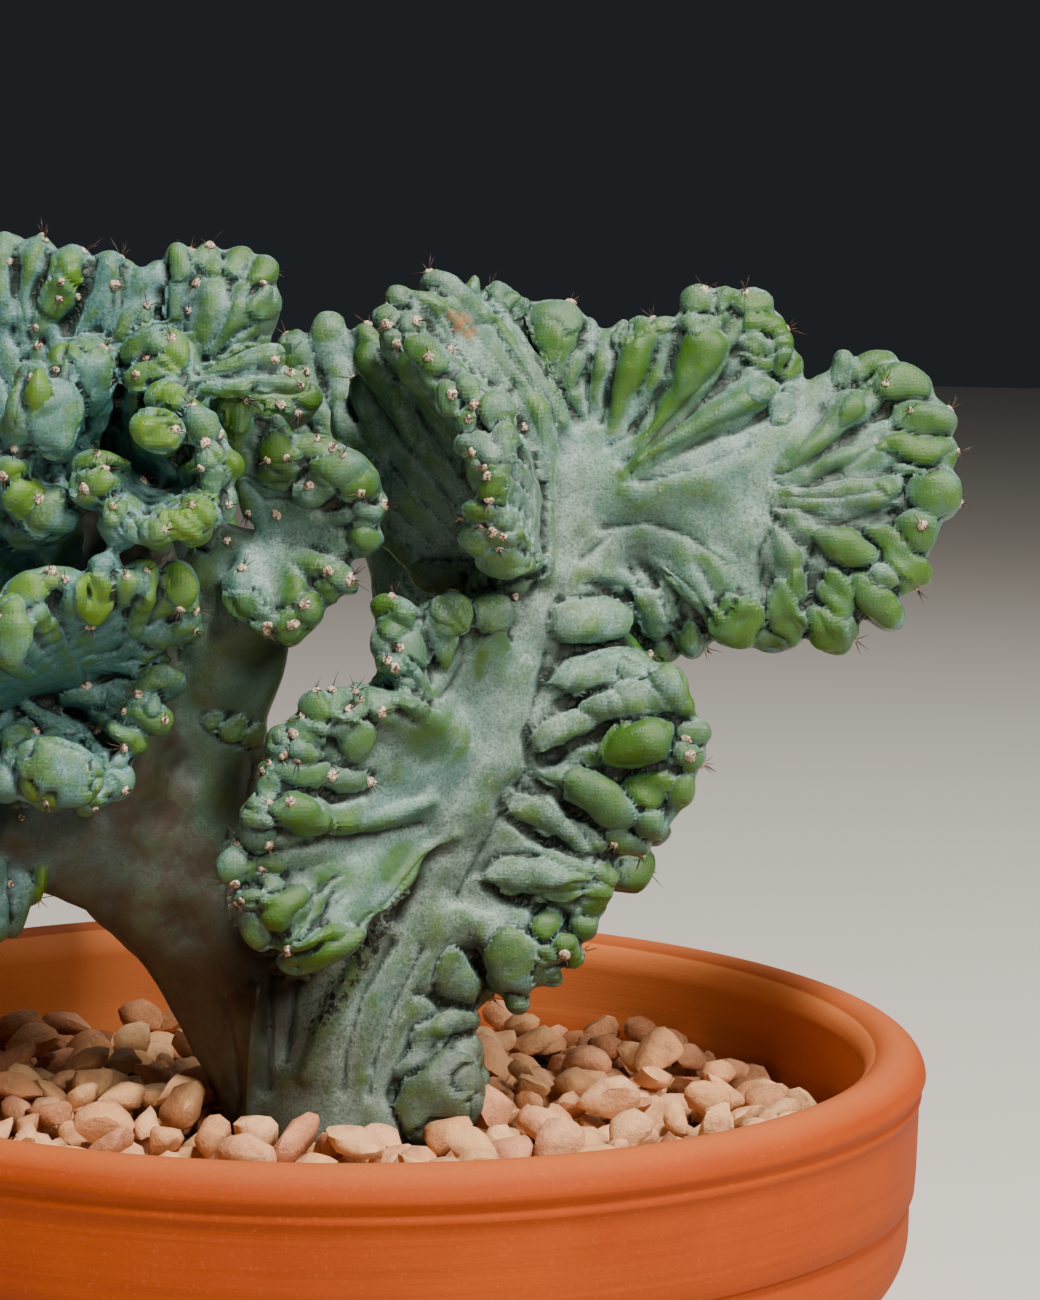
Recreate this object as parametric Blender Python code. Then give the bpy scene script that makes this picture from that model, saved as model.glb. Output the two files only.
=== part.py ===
"""A crested blue candle cactus in a low terracotta bowl, with a dressing of stone chips.

Metres, +Z up. The origin is the middle of the bowl's flat underside, +X is to the right and
+Y is away from the side that the plant shows best. The plant is one grown body. Its growing
points have widened into long crests, and a crest's edge is many times longer than its root,
so it folds over itself. Each crest is written as two lines, its edge and its root, and ribs
run from one to the other.
"""

import math
import random

import bmesh
import bpy
import numpy as np

MM = 0.001

# The bowl: wheel-thrown terracotta, with a rounded lip, a plain collar and a low turned body.
BOWL_RADIUS = 200 * MM
BOWL_HEIGHT = 105 * MM
LIP_RADIUS = 10.3 * MM
LIP_GROOVE_DROP = 11.9 * MM
COLLAR_DROP = 48 * MM
COLLAR_STEP = 1.8 * MM
BODY_RADIUS = 196 * MM
BODY_DROP = 61 * MM
WALL = 13 * MM
FLOOR = 14 * MM
CORNER_RADIUS = 24 * MM
CORNER_TURN = math.radians(55)
BOWL_SIDES = 42
DRAIN_RADIUS = 8 * MM
DRAIN_CIRCLE = 62 * MM
DRAINS = 3

# What fills it: gritty soil, a bed of chips on the soil, and the clearance between solids.
GAP = 0.4 * MM
SOIL_TOP = 56 * MM
CHIP_VALLEY = 62 * MM
CHIP_TOP = 73 * MM
CHIP_SPACING = 30 * MM
CHIP_RISE = (5 * MM, 9.5 * MM)

# The foot of the stem, a plain oval plug in the chips and the soil.
FOOT_CENTRE = (19.5 * MM, 6 * MM)
FOOT_HALF_AXES = (40.5 * MM, 33 * MM)
FOOT_BOTTOM = 34 * MM
FOOT_TOP = 66 * MM
FOOT_SIDES = 16

# The eye that the outlines were read from, as pixels of a 1040 x 1300 picture of the plant.
EYE = np.array([-70.3 * MM, -1300 * MM, BOWL_HEIGHT + 284.2 * MM])
EYE_YAW, EYE_PITCH, EYE_ROLL = (math.radians(a) for a in (5.85, 6.93, 1.38))
EYE_FOCAL_PX = 3983.0
PICTURE_CENTRE = (520.0, 650.0)

# How a rib is drawn across, as (place in its own width, share of the thickness, share of the
# reach), and along, from its root to its knob, as (way along, share of the thickness).
ACROSS_RIB = [(0.0, 0.42, 0.0), (0.27, 1.0, 1.0), (0.73, 1.0, 1.0)]
ALONG_RIB = [(0.0, 0.15), (0.62, 0.75), (0.89, 1.0), (1.0, 0.5)]
FURROW_RECESS = 5 * MM
KNOB_STAGGER = 2.2 * MM
LIMB_SIDES = 8
SPINE_LENGTH = 6.5 * MM
SPINE_RADIUS = 0.6 * MM
SPINE_SINK = 2.5 * MM

# Stems, each a list of (pixel x, pixel y, depth in mm, half width in mm, half thickness in mm).
LIMBS = {
    "stem": [
        (352, 1175, 4, 34, 30),
        (356, 1085, 4, 38, 29),
        (392, 960, 0, 31, 22),
        (446, 850, -5, 27, 17),
        (490, 740, -8, 25, 15),
        (530, 620, -6, 23, 13),
        (570, 520, -2, 25, 11),
        (600, 435, 2, 17, 9),
    ],
    "left_limb": [
        (330, 1170, 8, 30, 28),
        (292, 1060, 10, 29, 26),
        (225, 950, 14, 25, 23),
        (150, 855, 12, 27, 22),
        (112, 740, 8, 30, 22),
        (92, 620, 5, 30, 20),
        (82, 510, 5, 25, 15),
        (78, 465, 5, 12, 7),
    ],
    "middle_limb": [
        (180, 880, 16, 24, 20),
        (205, 745, 12, 20, 17),
        (225, 640, 0, 21, 15),
        (255, 535, -8, 19, 10),
    ],
    "hand_arm": [
        (560, 500, 2, 24, 11),
        (640, 490, -4, 27, 10),
        (715, 490, -8, 25, 9),
        (790, 495, -10, 15, 7),
    ],
    "far_left_arm": [
        (150, 860, 12, 24, 20),
        (70, 838, 2, 21, 18),
        (-10, 815, -10, 17, 13),
    ],
    "rear_limb": [
        (470, 740, 10, 16, 13),
        (425, 640, 36, 14, 12),
        (396, 545, 52, 12, 10),
        (350, 440, 66, 9, 7),
    ],
}

# Crests, each with its rib spacing and thickness in mm, and stations that pair a point of the
# edge with a point of the root, both as (pixel x, pixel y, depth in mm).
CRESTS = {
    "right_side": {
        "pitch": 24,
        "thick": 22,
        "stations": [
            ((450, 1128, -22), (392, 1120, 0)),
            ((482, 1062, -16), (410, 1050, 0)),
            ((492, 1000, -8), (425, 970, -4)),
            ((560, 970, -16), (450, 900, -8)),
            ((598, 905, -16), (478, 845, -8)),
            ((640, 850, -16), (492, 795, -8)),
            ((690, 795, -20), (508, 745, -10)),
            ((706, 738, -20), (520, 705, -10)),
            ((672, 680, -14), (534, 660, -8)),
            ((642, 628, -2), (548, 610, -6)),
        ],
    },
    "hand": {
        "pitch": 20,
        "thick": 23,
        "stations": [
            ((650, 655, 8), (590, 530, 0)),
            ((700, 655, -2), (640, 510, -5)),
            ((740, 645, -14), (690, 500, -8)),
            ((790, 640, -16), (720, 500, -9)),
            ((845, 640, -18), (740, 498, -9)),
            ((895, 605, -20), (750, 496, -9)),
            ((935, 560, -18), (755, 494, -9)),
            ((957, 500, -14), (757, 491, -9)),
            ((957, 440, -8), (755, 488, -9)),
            ((925, 390, -3), (745, 485, -9)),
            ((880, 362, 2), (725, 483, -8)),
            ((838, 366, 6), (695, 480, -7)),
        ],
    },
    "top_edge": {
        "pitch": 17,
        "thick": 20,
        "stations": [
            ((805, 385, 8), (680, 492, -6)),
            ((790, 345, 2), (660, 485, -5)),
            ((752, 298, 0), (645, 480, -4)),
            ((700, 298, 0), (630, 475, -3)),
            ((650, 322, 2), (615, 470, -2)),
            ((606, 326, 6), (600, 465, 0)),
            ((560, 308, 12), (585, 465, 0)),
            ((515, 296, 14), (570, 468, 0)),
            ((470, 284, 8), (560, 475, -2)),
        ],
    },
    "hood": {
        "pitch": 16,
        "thick": 17,
        "stations": [
            ((468, 283, 6), (562, 430, 0)),
            ((425, 281, -2), (556, 455, -5)),
            ((392, 302, -14), (550, 478, -9)),
            ((400, 338, -30), (545, 492, -13)),
            ((446, 366, -44), (540, 505, -18)),
            ((482, 402, -54), (536, 515, -22)),
            ((478, 446, -58), (535, 525, -25)),
            ((482, 490, -58), (535, 540, -27)),
            ((490, 530, -54), (536, 555, -27)),
            ((508, 580, -44), (540, 572, -23)),
        ],
    },
    "curtain": {
        "pitch": 18,
        "thick": 15,
        "stations": [
            ((408, 308, 2), (530, 520, -4)),
            ((372, 338, 8), (505, 540, -1)),
            ((344, 378, 14), (490, 560, 1)),
            ((335, 425, 18), (480, 580, 2)),
            ((344, 475, 20), (474, 600, 2)),
            ((372, 525, 18), (470, 618, 2)),
        ],
    },
    "ear": {
        "pitch": 14,
        "thick": 18,
        "stations": [
            ((498, 606, -20), (512, 655, -14)),
            ((452, 596, -26), (492, 675, -18)),
            ((395, 602, -30), (468, 700, -22)),
            ((378, 645, -36), (452, 715, -24)),
            ((398, 684, -40), (446, 730, -25)),
            ((352, 692, -44), (432, 748, -27)),
            ((305, 704, -47), (420, 762, -28)),
            ((272, 745, -50), (410, 780, -29)),
            ((258, 795, -52), (402, 792, -29)),
            ((234, 852, -53), (400, 804, -29)),
            ((246, 910, -52), (404, 818, -28)),
            ((282, 952, -50), (412, 832, -26)),
            ((328, 962, -44), (424, 852, -20)),
        ],
    },
    "rear_ear": {
        "pitch": 30,
        "thick": 20,
        "stations": [
            ((640, 900, 36), (480, 870, 8)),
            ((665, 800, 50), (500, 790, 8)),
            ((640, 700, 60), (515, 720, 8)),
            ((560, 640, 64), (520, 690, 8)),
            ((470, 650, 60), (510, 710, 8)),
            ((420, 720, 54), (490, 760, 8)),
            ((400, 810, 46), (470, 810, 8)),
        ],
    },
    "rear_branch": {
        "pitch": 19,
        "thick": 16,
        "stations": [
            ((300, 434, 74), (372, 545, 56)),
            ((278, 376, 77), (366, 525, 57)),
            ((298, 330, 78), (362, 505, 58)),
            ((346, 316, 76), (364, 490, 59)),
            ((388, 340, 74), (374, 484, 60)),
            ((412, 396, 74), (386, 490, 60)),
        ],
    },
    "crotch_tuft": {
        "pitch": 17,
        "thick": 15,
        "stations": [
            ((206, 724, 44), (228, 800, 24)),
            ((240, 712, 48), (238, 800, 24)),
            ((272, 740, 46), (246, 806, 24)),
        ],
    },
    "left_back": {
        "pitch": 18,
        "thick": 19,
        "stations": [
            ((-205, 470, 24), (-20, 600, 14)),
            ((-190, 380, 30), (0, 580, 15)),
            ((-140, 300, 34), (20, 550, 16)),
            ((-75, 250, 34), (45, 520, 16)),
            ((-10, 232, 32), (65, 495, 16)),
            ((50, 230, 28), (85, 480, 16)),
            ((105, 248, 24), (105, 470, 15)),
            ((165, 254, 22), (125, 460, 14)),
            ((225, 250, 20), (145, 452, 13)),
            ((276, 282, 16), (160, 448, 12)),
            ((272, 328, 12), (172, 450, 10)),
        ],
    },
    "pointing_fingers": {
        "pitch": 18,
        "thick": 17,
        "stations": [
            ((268, 352, 8), (150, 440, 6)),
            ((306, 376, 4), (160, 455, 3)),
            ((322, 410, -4), (170, 470, 0)),
        ],
    },
    "front_fold": {
        "pitch": 18,
        "thick": 19,
        "stations": [
            ((-90, 500, -26), (30, 560, 2)),
            ((-45, 448, -36), (45, 540, 0)),
            ((12, 424, -46), (60, 520, -2)),
            ((34, 372, -50), (70, 500, -2)),
            ((88, 348, -40), (85, 490, -2)),
            ((112, 374, -36), (100, 485, -2)),
        ],
    },
    "front_knot": {
        "pitch": 17,
        "thick": 18,
        "stations": [
            ((122, 366, -34), (110, 480, -2)),
            ((156, 336, -38), (125, 470, -2)),
            ((190, 360, -38), (140, 465, -2)),
            ((178, 404, -54), (140, 475, -5)),
            ((150, 436, -62), (140, 485, -8)),
        ],
    },
    "cup": {
        "pitch": 17,
        "thick": 17,
        "stations": [
            ((200, 424, -50), (150, 480, -14)),
            ((224, 462, -58), (156, 486, -16)),
            ((220, 506, -62), (156, 492, -18)),
            ((188, 534, -64), (152, 496, -18)),
            ((146, 534, -64), (144, 496, -18)),
            ((108, 510, -62), (138, 492, -17)),
            ((80, 474, -58), (134, 486, -16)),
            ((104, 442, -52), (136, 480, -14)),
        ],
    },
    "star": {
        "pitch": 19,
        "thick": 18,
        "stations": [
            ((214, 404, -34), (240, 510, -6)),
            ((256, 402, -34), (246, 508, -7)),
            ((300, 436, -32), (254, 512, -8)),
            ((352, 446, -32), (260, 518, -9)),
            ((380, 486, -32), (264, 526, -9)),
            ((378, 545, -30), (266, 534, -9)),
            ((340, 586, -32), (264, 542, -9)),
            ((296, 632, -34), (258, 550, -9)),
            ((246, 614, -32), (250, 552, -9)),
            ((216, 580, -26), (242, 548, -8)),
        ],
    },
    "left_cheek": {
        "pitch": 20,
        "thick": 18,
        "stations": [
            ((-100, 560, -30), (20, 590, 0)),
            ((-40, 490, -42), (35, 575, 0)),
            ((14, 470, -48), (50, 560, 0)),
            ((42, 512, -46), (60, 560, 0)),
            ((66, 548, -38), (75, 580, 0)),
        ],
    },
    "shelf": {
        "pitch": 17,
        "thick": 18,
        "stations": [
            ((-130, 690, -48), (20, 700, -6)),
            ((-70, 660, -58), (40, 690, -10)),
            ((-10, 628, -64), (60, 680, -14)),
            ((36, 590, -68), (80, 675, -18)),
            ((90, 574, -68), (95, 670, -20)),
            ((145, 570, -62), (110, 670, -18)),
            ((188, 582, -54), (120, 672, -14)),
            ((194, 636, -46), (122, 680, -10)),
        ],
    },
    "skirt": {
        "pitch": 17,
        "thick": 16,
        "stations": [
            ((186, 660, -42), (100, 690, -8)),
            ((166, 700, -40), (92, 700, -8)),
            ((136, 756, -42), (82, 708, -8)),
            ((102, 800, -48), (70, 712, -8)),
            ((56, 812, -52), (56, 712, -8)),
            ((6, 800, -52), (42, 708, -8)),
            ((-44, 776, -48), (28, 700, -6)),
            ((-96, 750, -42), (16, 690, -2)),
        ],
    },
    "drooping_end": {
        "pitch": 17,
        "thick": 16,
        "stations": [
            ((40, 872, -8), (10, 800, -6)),
            ((26, 930, -16), (0, 800, -8)),
            ((-12, 952, -22), (-10, 800, -10)),
            ((-60, 920, -28), (-20, 795, -12)),
            ((-100, 860, -30), (-26, 785, -12)),
        ],
    },
    "left_side": {
        "pitch": 27,
        "thick": 20,
        "stations": [
            ((-215, 500, 16), (-40, 620, 8)),
            ((-236, 570, 8), (-40, 640, 4)),
            ((-232, 650, -4), (-36, 670, 0)),
            ((-205, 725, -16), (-30, 700, -4)),
            ((-160, 790, -26), (-25, 740, -8)),
            ((-115, 840, -28), (-25, 770, -10)),
        ],
    },
    "left_rear": {
        "pitch": 30,
        "thick": 22,
        "stations": [
            ((-150, 720, 60), (20, 680, 18)),
            ((-175, 600, 76), (20, 620, 20)),
            ((-130, 480, 88), (40, 560, 20)),
            ((-40, 410, 96), (60, 520, 20)),
            ((60, 390, 98), (90, 500, 20)),
            ((150, 420, 94), (120, 510, 18)),
            ((215, 500, 86), (130, 560, 18)),
            ((205, 600, 76), (120, 620, 18)),
            ((150, 690, 66), (110, 680, 18)),
        ],
    },
}


def seen(px, py, depth):
    """The point on the line of sight through a pixel whose y is depth, in mm."""
    ahead = np.array([math.sin(EYE_YAW) * math.cos(EYE_PITCH),
                      math.cos(EYE_YAW) * math.cos(EYE_PITCH),
                      -math.sin(EYE_PITCH)])
    level = np.array([math.cos(EYE_YAW), -math.sin(EYE_YAW), 0.0])
    upright = np.cross(level, ahead)
    right = level * math.cos(EYE_ROLL) + upright * math.sin(EYE_ROLL)
    up = upright * math.cos(EYE_ROLL) - level * math.sin(EYE_ROLL)
    sight = (ahead + right * (px - PICTURE_CENTRE[0]) / EYE_FOCAL_PX
             - up * (py - PICTURE_CENTRE[1]) / EYE_FOCAL_PX)
    return EYE + sight * (depth * MM - EYE[1]) / sight[1]


def through(points, t):
    """Places t on the smooth curve through points, where t counts from point to point."""
    points = np.asarray(points)
    t = np.atleast_1d(t)
    padded = np.vstack([2 * points[0] - points[1], points, 2 * points[-1] - points[-2]])
    i = np.clip(np.floor(t).astype(int), 0, len(points) - 2)
    u = (t - i).reshape(-1, 1)
    a, b, c, d = padded[i], padded[i + 1], padded[i + 2], padded[i + 3]
    return 0.5 * (2 * b + (c - a) * u + (2 * a - 5 * b + 4 * c - d) * u ** 2
                  + (3 * b - a - 3 * c + d) * u ** 3)


def unit(v):
    """The vector, or each row of an array of vectors, at length 1."""
    return v / np.linalg.norm(v, axis=-1, keepdims=True)


def material(name, colour, roughness):
    """A plain matte material."""
    made = bpy.data.materials.new(name)
    made.use_nodes = True
    shader = made.node_tree.nodes["Principled BSDF"]
    shader.inputs["Base Color"].default_value = (*colour, 1.0)
    shader.inputs["Roughness"].default_value = roughness
    made.diffuse_color = (*colour, 1.0)
    return made


def mesh_object(name, points, faces, finish=None):
    """A new object with this mesh in triangles, its faces turned outwards."""
    mesh = bpy.data.meshes.new(name)
    mesh.from_pydata([tuple(p) for p in points], [], faces)
    obj = bpy.data.objects.new(name, mesh)
    bpy.context.scene.collection.objects.link(obj)
    work = bmesh.new()
    work.from_mesh(mesh)
    bmesh.ops.recalc_face_normals(work, faces=work.faces)
    bmesh.ops.triangulate(work, faces=work.faces)
    work.to_mesh(mesh)
    work.free()
    if finish:
        mesh.materials.append(finish)
    return obj


def skinned(name, rings, finish=None):
    """A closed body over rings of points, an array of (ring, side, 3), with flat ends."""
    count, sides = rings.shape[:2]
    faces = [tuple(reversed(range(sides)))]
    for r in range(count - 1):
        for s in range(sides):
            n = (s + 1) % sides
            faces.append((r * sides + s, r * sides + n, (r + 1) * sides + n, (r + 1) * sides + s))
    faces.append(tuple((count - 1) * sides + s for s in range(sides)))
    return mesh_object(name, rings.reshape(-1, 3), faces, finish)


def turned(name, profile, sides, finish=None):
    """A body turned round the Z axis from a profile of (radius, height) points."""
    mesh = bpy.data.meshes.new(name)
    obj = bpy.data.objects.new(name, mesh)
    bpy.context.scene.collection.objects.link(obj)
    work = bmesh.new()
    corners = [work.verts.new((r, 0, z)) for r, z in profile]
    edges = [work.edges.new(pair) for pair in zip(corners, corners[1:])]
    bmesh.ops.spin(work, geom=corners + edges, cent=(0, 0, 0), axis=(0, 0, 1),
                   angle=2 * math.pi, steps=sides, use_merge=True)
    bmesh.ops.remove_doubles(work, verts=work.verts, dist=1e-6)
    bmesh.ops.recalc_face_normals(work, faces=work.faces)
    work.to_mesh(mesh)
    work.free()
    if finish:
        mesh.materials.append(finish)
    return obj


def arc(centre, radius, start, end, steps):
    """Points on an arc of a profile, with the angles in degrees from +X."""
    angles = np.radians(np.linspace(start, end, steps + 1))
    return [(centre[0] + radius * math.cos(a), centre[1] + radius * math.sin(a)) for a in angles]


def combine(obj, tools, operation, solver):
    """The object joined with, or cut by, all of the tools at once. The tools are used up."""
    group = bpy.data.collections.new("tools")
    bpy.context.scene.collection.children.link(group)
    for tool in tools:
        group.objects.link(tool)
        bpy.context.scene.collection.objects.unlink(tool)
    boolean = obj.modifiers.new("combine", "BOOLEAN")
    boolean.operation = operation
    boolean.operand_type = "COLLECTION"
    boolean.collection = group
    boolean.solver = solver
    bpy.context.view_layer.update()
    result = bpy.data.meshes.new_from_object(obj.evaluated_get(bpy.context.evaluated_depsgraph_get()))
    obj.modifiers.clear()
    result.name = obj.name
    obj.data = result
    for tool in tools:
        bpy.data.objects.remove(tool)
    bpy.data.collections.remove(group)
    for face in result.polygons:
        face.material_index = 0


def keep_largest_body(obj):
    """Drops loose scraps and the walls of sealed hollows, and so fills the hollows."""
    work = bmesh.new()
    work.from_mesh(obj.data)
    bmesh.ops.remove_doubles(work, verts=work.verts, dist=2e-6)
    bodies = []
    left = set(work.verts)
    while left:
        front = [left.pop()]
        body = set(front)
        while front:
            vert = front.pop()
            for edge in vert.link_edges:
                other = edge.other_vert(vert)
                if other in left:
                    left.remove(other)
                    body.add(other)
                    front.append(other)
        bodies.append(body)
    bodies.sort(key=len, reverse=True)
    for body in bodies[1:]:
        bmesh.ops.delete(work, geom=list(body), context="VERTS")
    work.to_mesh(obj.data)
    work.free()


def bowl_inside(clear):
    """The profile of the bowl's hollow, made smaller by clear, from the floor's middle upwards."""
    radius = CORNER_RADIUS - WALL - clear
    centre = (BODY_RADIUS - CORNER_RADIUS, BOWL_HEIGHT - BODY_DROP)
    turn = arc(centre, radius, -math.degrees(CORNER_TURN), 0, 3)
    fall = turn[0][1] - (FLOOR + clear)
    slope_foot = turn[0][0] - fall * math.tan(CORNER_TURN)
    return [(0, FLOOR + clear), (slope_foot, FLOOR + clear)] + turn


def make_bowl():
    """The terracotta bowl, turned, with three round drainage holes in its flat floor."""
    lip = (BOWL_RADIUS - LIP_RADIUS, BOWL_HEIGHT - LIP_RADIUS)
    body = (BODY_RADIUS - CORNER_RADIUS, BOWL_HEIGHT - BODY_DROP)
    corner = arc(body, CORNER_RADIUS, 0, -math.degrees(CORNER_TURN), 3)
    foot_radius = corner[-1][0] - corner[-1][1] * math.tan(CORNER_TURN)
    collar_top = BOWL_HEIGHT - LIP_GROOVE_DROP
    inside = bowl_inside(0)
    profile = inside
    profile = profile + [(inside[-1][0], BOWL_HEIGHT - 2 * LIP_RADIUS)]
    profile = profile + arc(lip, LIP_RADIUS, 180, 10, 7)
    profile = profile + [
        (BOWL_RADIUS - 1.6 * MM, collar_top),
        (BOWL_RADIUS - 0.8 * MM, collar_top - 3 * MM),
        (BOWL_RADIUS - 1.6 * MM, collar_top - 5 * MM),
        (BOWL_RADIUS - 2.2 * MM, BOWL_HEIGHT - COLLAR_DROP + MM),
        (BOWL_RADIUS - 2.2 * MM - COLLAR_STEP, BOWL_HEIGHT - COLLAR_DROP),
    ]
    profile = profile + corner + [(foot_radius, 0), (0, 0)]
    bowl = turned("terracotta_pot", profile, BOWL_SIDES, material("terracotta", (0.58, 0.17, 0.05), 0.8))
    drills = []
    for i in range(DRAINS):
        angle = 2 * math.pi * (i + 0.25) / DRAINS
        drill = turned("drill", [(0, -5 * MM), (DRAIN_RADIUS, -5 * MM),
                                 (DRAIN_RADIUS, FLOOR + 5 * MM), (0, FLOOR + 5 * MM)], 16)
        drill.location = (DRAIN_CIRCLE * math.cos(angle), DRAIN_CIRCLE * math.sin(angle), 0)
        drills.append(drill)
    combine(bowl, drills, "DIFFERENCE", "EXACT")
    return bowl


def oval_plug(name, bottom, top, clear, finish=None):
    """An upright oval prism round the foot of the stem, made larger by clear."""
    angles = np.linspace(0, 2 * math.pi, FOOT_SIDES, endpoint=False)
    x = FOOT_CENTRE[0] + (FOOT_HALF_AXES[0] + clear) * np.cos(angles)
    y = FOOT_CENTRE[1] + (FOOT_HALF_AXES[1] + clear) * np.sin(angles)
    rings = np.array([np.column_stack([x, y, np.full(FOOT_SIDES, z)]) for z in (bottom, top)])
    return skinned(name, rings, finish)


def make_soil():
    """The gritty soil, which fills the bowl up to the chips, with a plain hole for the stem."""
    inside = bowl_inside(GAP)
    profile = inside + [(inside[-1][0], SOIL_TOP), (0, SOIL_TOP)]
    soil = turned("potting_mix", profile, BOWL_SIDES, material("gritty_soil", (0.06, 0.04, 0.03), 0.95))
    hole = oval_plug("hole", FOOT_BOTTOM - GAP, SOIL_TOP + 5 * MM, GAP)
    combine(soil, [hole], "DIFFERENCE", "EXACT")
    return soil


def chip_block(draw):
    """A closed slab whose top is a layer of chips: six-sided stones raised on a jittered grid."""
    rim = BOWL_RADIUS
    rows = int(rim / (CHIP_SPACING * 0.75)) + 1
    points = []
    faces = []
    corners = {}
    edge_uses = {}
    half_height = CHIP_SPACING / math.sqrt(3)

    def corner(x, y):
        key = (round(2 * x / CHIP_SPACING), round(2 * y / half_height))
        if key not in corners:
            corners[key] = len(points)
            jitter = 0.13 * CHIP_SPACING
            points.append((x + draw.uniform(-jitter, jitter), y + draw.uniform(-jitter, jitter),
                           CHIP_VALLEY + draw.uniform(0, 1.5) * MM))
        return corners[key]

    for row in range(-rows, rows + 1):
        for column in range(-rows, rows + 1):
            x = (column + 0.5 * (row % 2)) * CHIP_SPACING
            y = row * half_height * 1.5
            if math.hypot(x, y) > rim + CHIP_SPACING:
                continue
            turns = [math.radians(60 * i + 30) for i in range(6)]
            low = [corner(x + half_height * math.cos(t), y + half_height * math.sin(t)) for t in turns]
            middle = np.mean([points[i] for i in low], axis=0)
            rise = draw.uniform(*CHIP_RISE)
            tilt = (draw.uniform(-0.2, 0.2), draw.uniform(-0.2, 0.2))
            shrink = draw.uniform(0.55, 0.72)
            high = []
            for i in low:
                spread = (np.array(points[i]) - middle)[:2] * shrink * draw.uniform(0.85, 1.1)
                z = CHIP_VALLEY + rise + spread @ tilt
                high.append(len(points))
                points.append((*(middle[:2] + spread), min(z, CHIP_TOP)))
            faces.append(tuple(high))
            for i in range(6):
                n = (i + 1) % 6
                faces.append((low[i], low[n], high[n], high[i]))
                edge_uses.setdefault(frozenset((low[i], low[n])), []).append((low[i], low[n]))
    border = dict(uses[0] for uses in edge_uses.values() if len(uses) == 1)
    walk = [next(iter(border))]
    while border[walk[-1]] != walk[0]:
        walk.append(border[walk[-1]])
    below = {i: len(points) + k for k, i in enumerate(walk)}
    points.extend((points[i][0], points[i][1], SOIL_TOP + GAP) for i in walk)
    for i, n in zip(walk, walk[1:] + walk[:1]):
        faces.append((i, below[i], below[n], n))
    faces.append(tuple(below[i] for i in reversed(walk)))
    return mesh_object("gravel_top_dressing", points, faces,
                       material("stone_chips", (0.46, 0.27, 0.17), 0.85))


def make_chips():
    """The dressing of chips, one layer on a thin bed, trimmed clear of the wall and the stem."""
    chips = chip_block(random.Random(31))
    rim = bowl_inside(GAP)[-1][0]
    trim = turned("trim", [(0, 0), (rim, 0), (rim, BOWL_HEIGHT), (0, BOWL_HEIGHT)], BOWL_SIDES)
    combine(chips, [trim], "INTERSECT", "MANIFOLD")
    combine(chips, [oval_plug("hole", 0, BOWL_HEIGHT, GAP)], "DIFFERENCE", "MANIFOLD")
    keep_largest_body(chips)
    return chips


def limb(name, stations):
    """A stem: an oval carried along a smooth line through its stations."""
    line = np.array([seen(*s[:3]) for s in stations])
    halves = np.array([(s[3] * MM, s[4] * MM) for s in stations])
    steps = np.linspace(0, len(stations) - 1, 2 * len(stations) - 1)
    centres = through(line, steps)
    sizes = through(np.column_stack([halves, halves[:, 0]]), steps)[:, :2]
    ahead = unit(np.gradient(centres, axis=0))
    across = unit(np.cross(ahead, [0, 1, 0]))
    depthwise = unit(np.cross(across, ahead))
    angles = np.linspace(0, 2 * math.pi, LIMB_SIDES, endpoint=False)
    rings = (centres[:, None, :]
             + across[:, None, :] * (sizes[:, :1, None] * np.cos(angles)[None, :, None])
             + depthwise[:, None, :] * (sizes[:, 1:, None] * np.sin(angles)[None, :, None]))
    return skinned(name, rings)


def crest_sheet(name, crest, draw):
    """One crest, a closed sheet that thickens into a rib and an end knob at every pitch.

    Its columns run along the edge, three to a rib, and its rows run from the root over the
    edge and back to the root. The tips come back too, as (place, way out, way it faces).
    """
    edge = np.array([seen(*station[0]) for station in crest["stations"]])
    root = np.array([seen(*station[1]) for station in crest["stations"]])
    fine = np.linspace(0, len(edge) - 1, 40 * len(edge))
    walked = np.linalg.norm(np.diff(through(edge, fine), axis=0), axis=1)
    walked = np.concatenate([[0], np.cumsum(walked)])
    ribs = max(2, round(walked[-1] / (crest["pitch"] * MM)))
    columns = [(i + place, thick, reach, i) for i in range(ribs) for place, thick, reach in ACROSS_RIB]
    columns.append((ribs, *ACROSS_RIB[0][1:], ribs))
    place, thick, reach, rib = (np.array(c, dtype=float) for c in zip(*columns))
    steps = np.interp(place / ribs * walked[-1], walked, fine)
    edges = through(edge, steps)
    roots = through(root, steps)
    out = unit(edges - roots)
    station_out = unit(edge - root)
    station_face = unit(np.cross(np.gradient(edge, axis=0), station_out))
    face = through(station_face, steps)
    face = unit(face - out * np.sum(face * out, axis=1, keepdims=True))
    nudge = np.array([draw.uniform(-1.5, 1.5) * MM for _ in range(ribs + 1)])
    stagger = np.array([(-1) ** i * draw.uniform(0.4, 1.0) * KNOB_STAGGER for i in range(ribs + 1)])
    rib = rib.astype(int)
    ends = edges + out * (nudge[rib] * reach - FURROW_RECESS * (1 - reach))[:, None]
    front = []
    back = []
    for way, share in ALONG_RIB:
        depth = 1 - (1 - thick) * min(1.0, 0.25 + way)
        half = 0.5 * crest["thick"] * MM * share * depth
        middle = roots + (ends - roots) * way + face * (stagger[rib] * reach * way ** 2)[:, None]
        front.append(middle + face * half[:, None])
        back.append(middle - face * half[:, None])
    rings = np.array(front + back[::-1]).transpose(1, 0, 2)
    tips = [(ends[3 * i + 1] + stagger[i] * face[3 * i + 1], out[3 * i + 1], face[3 * i + 1])
            for i in range(ribs)]
    return skinned(name, rings), tips


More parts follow.
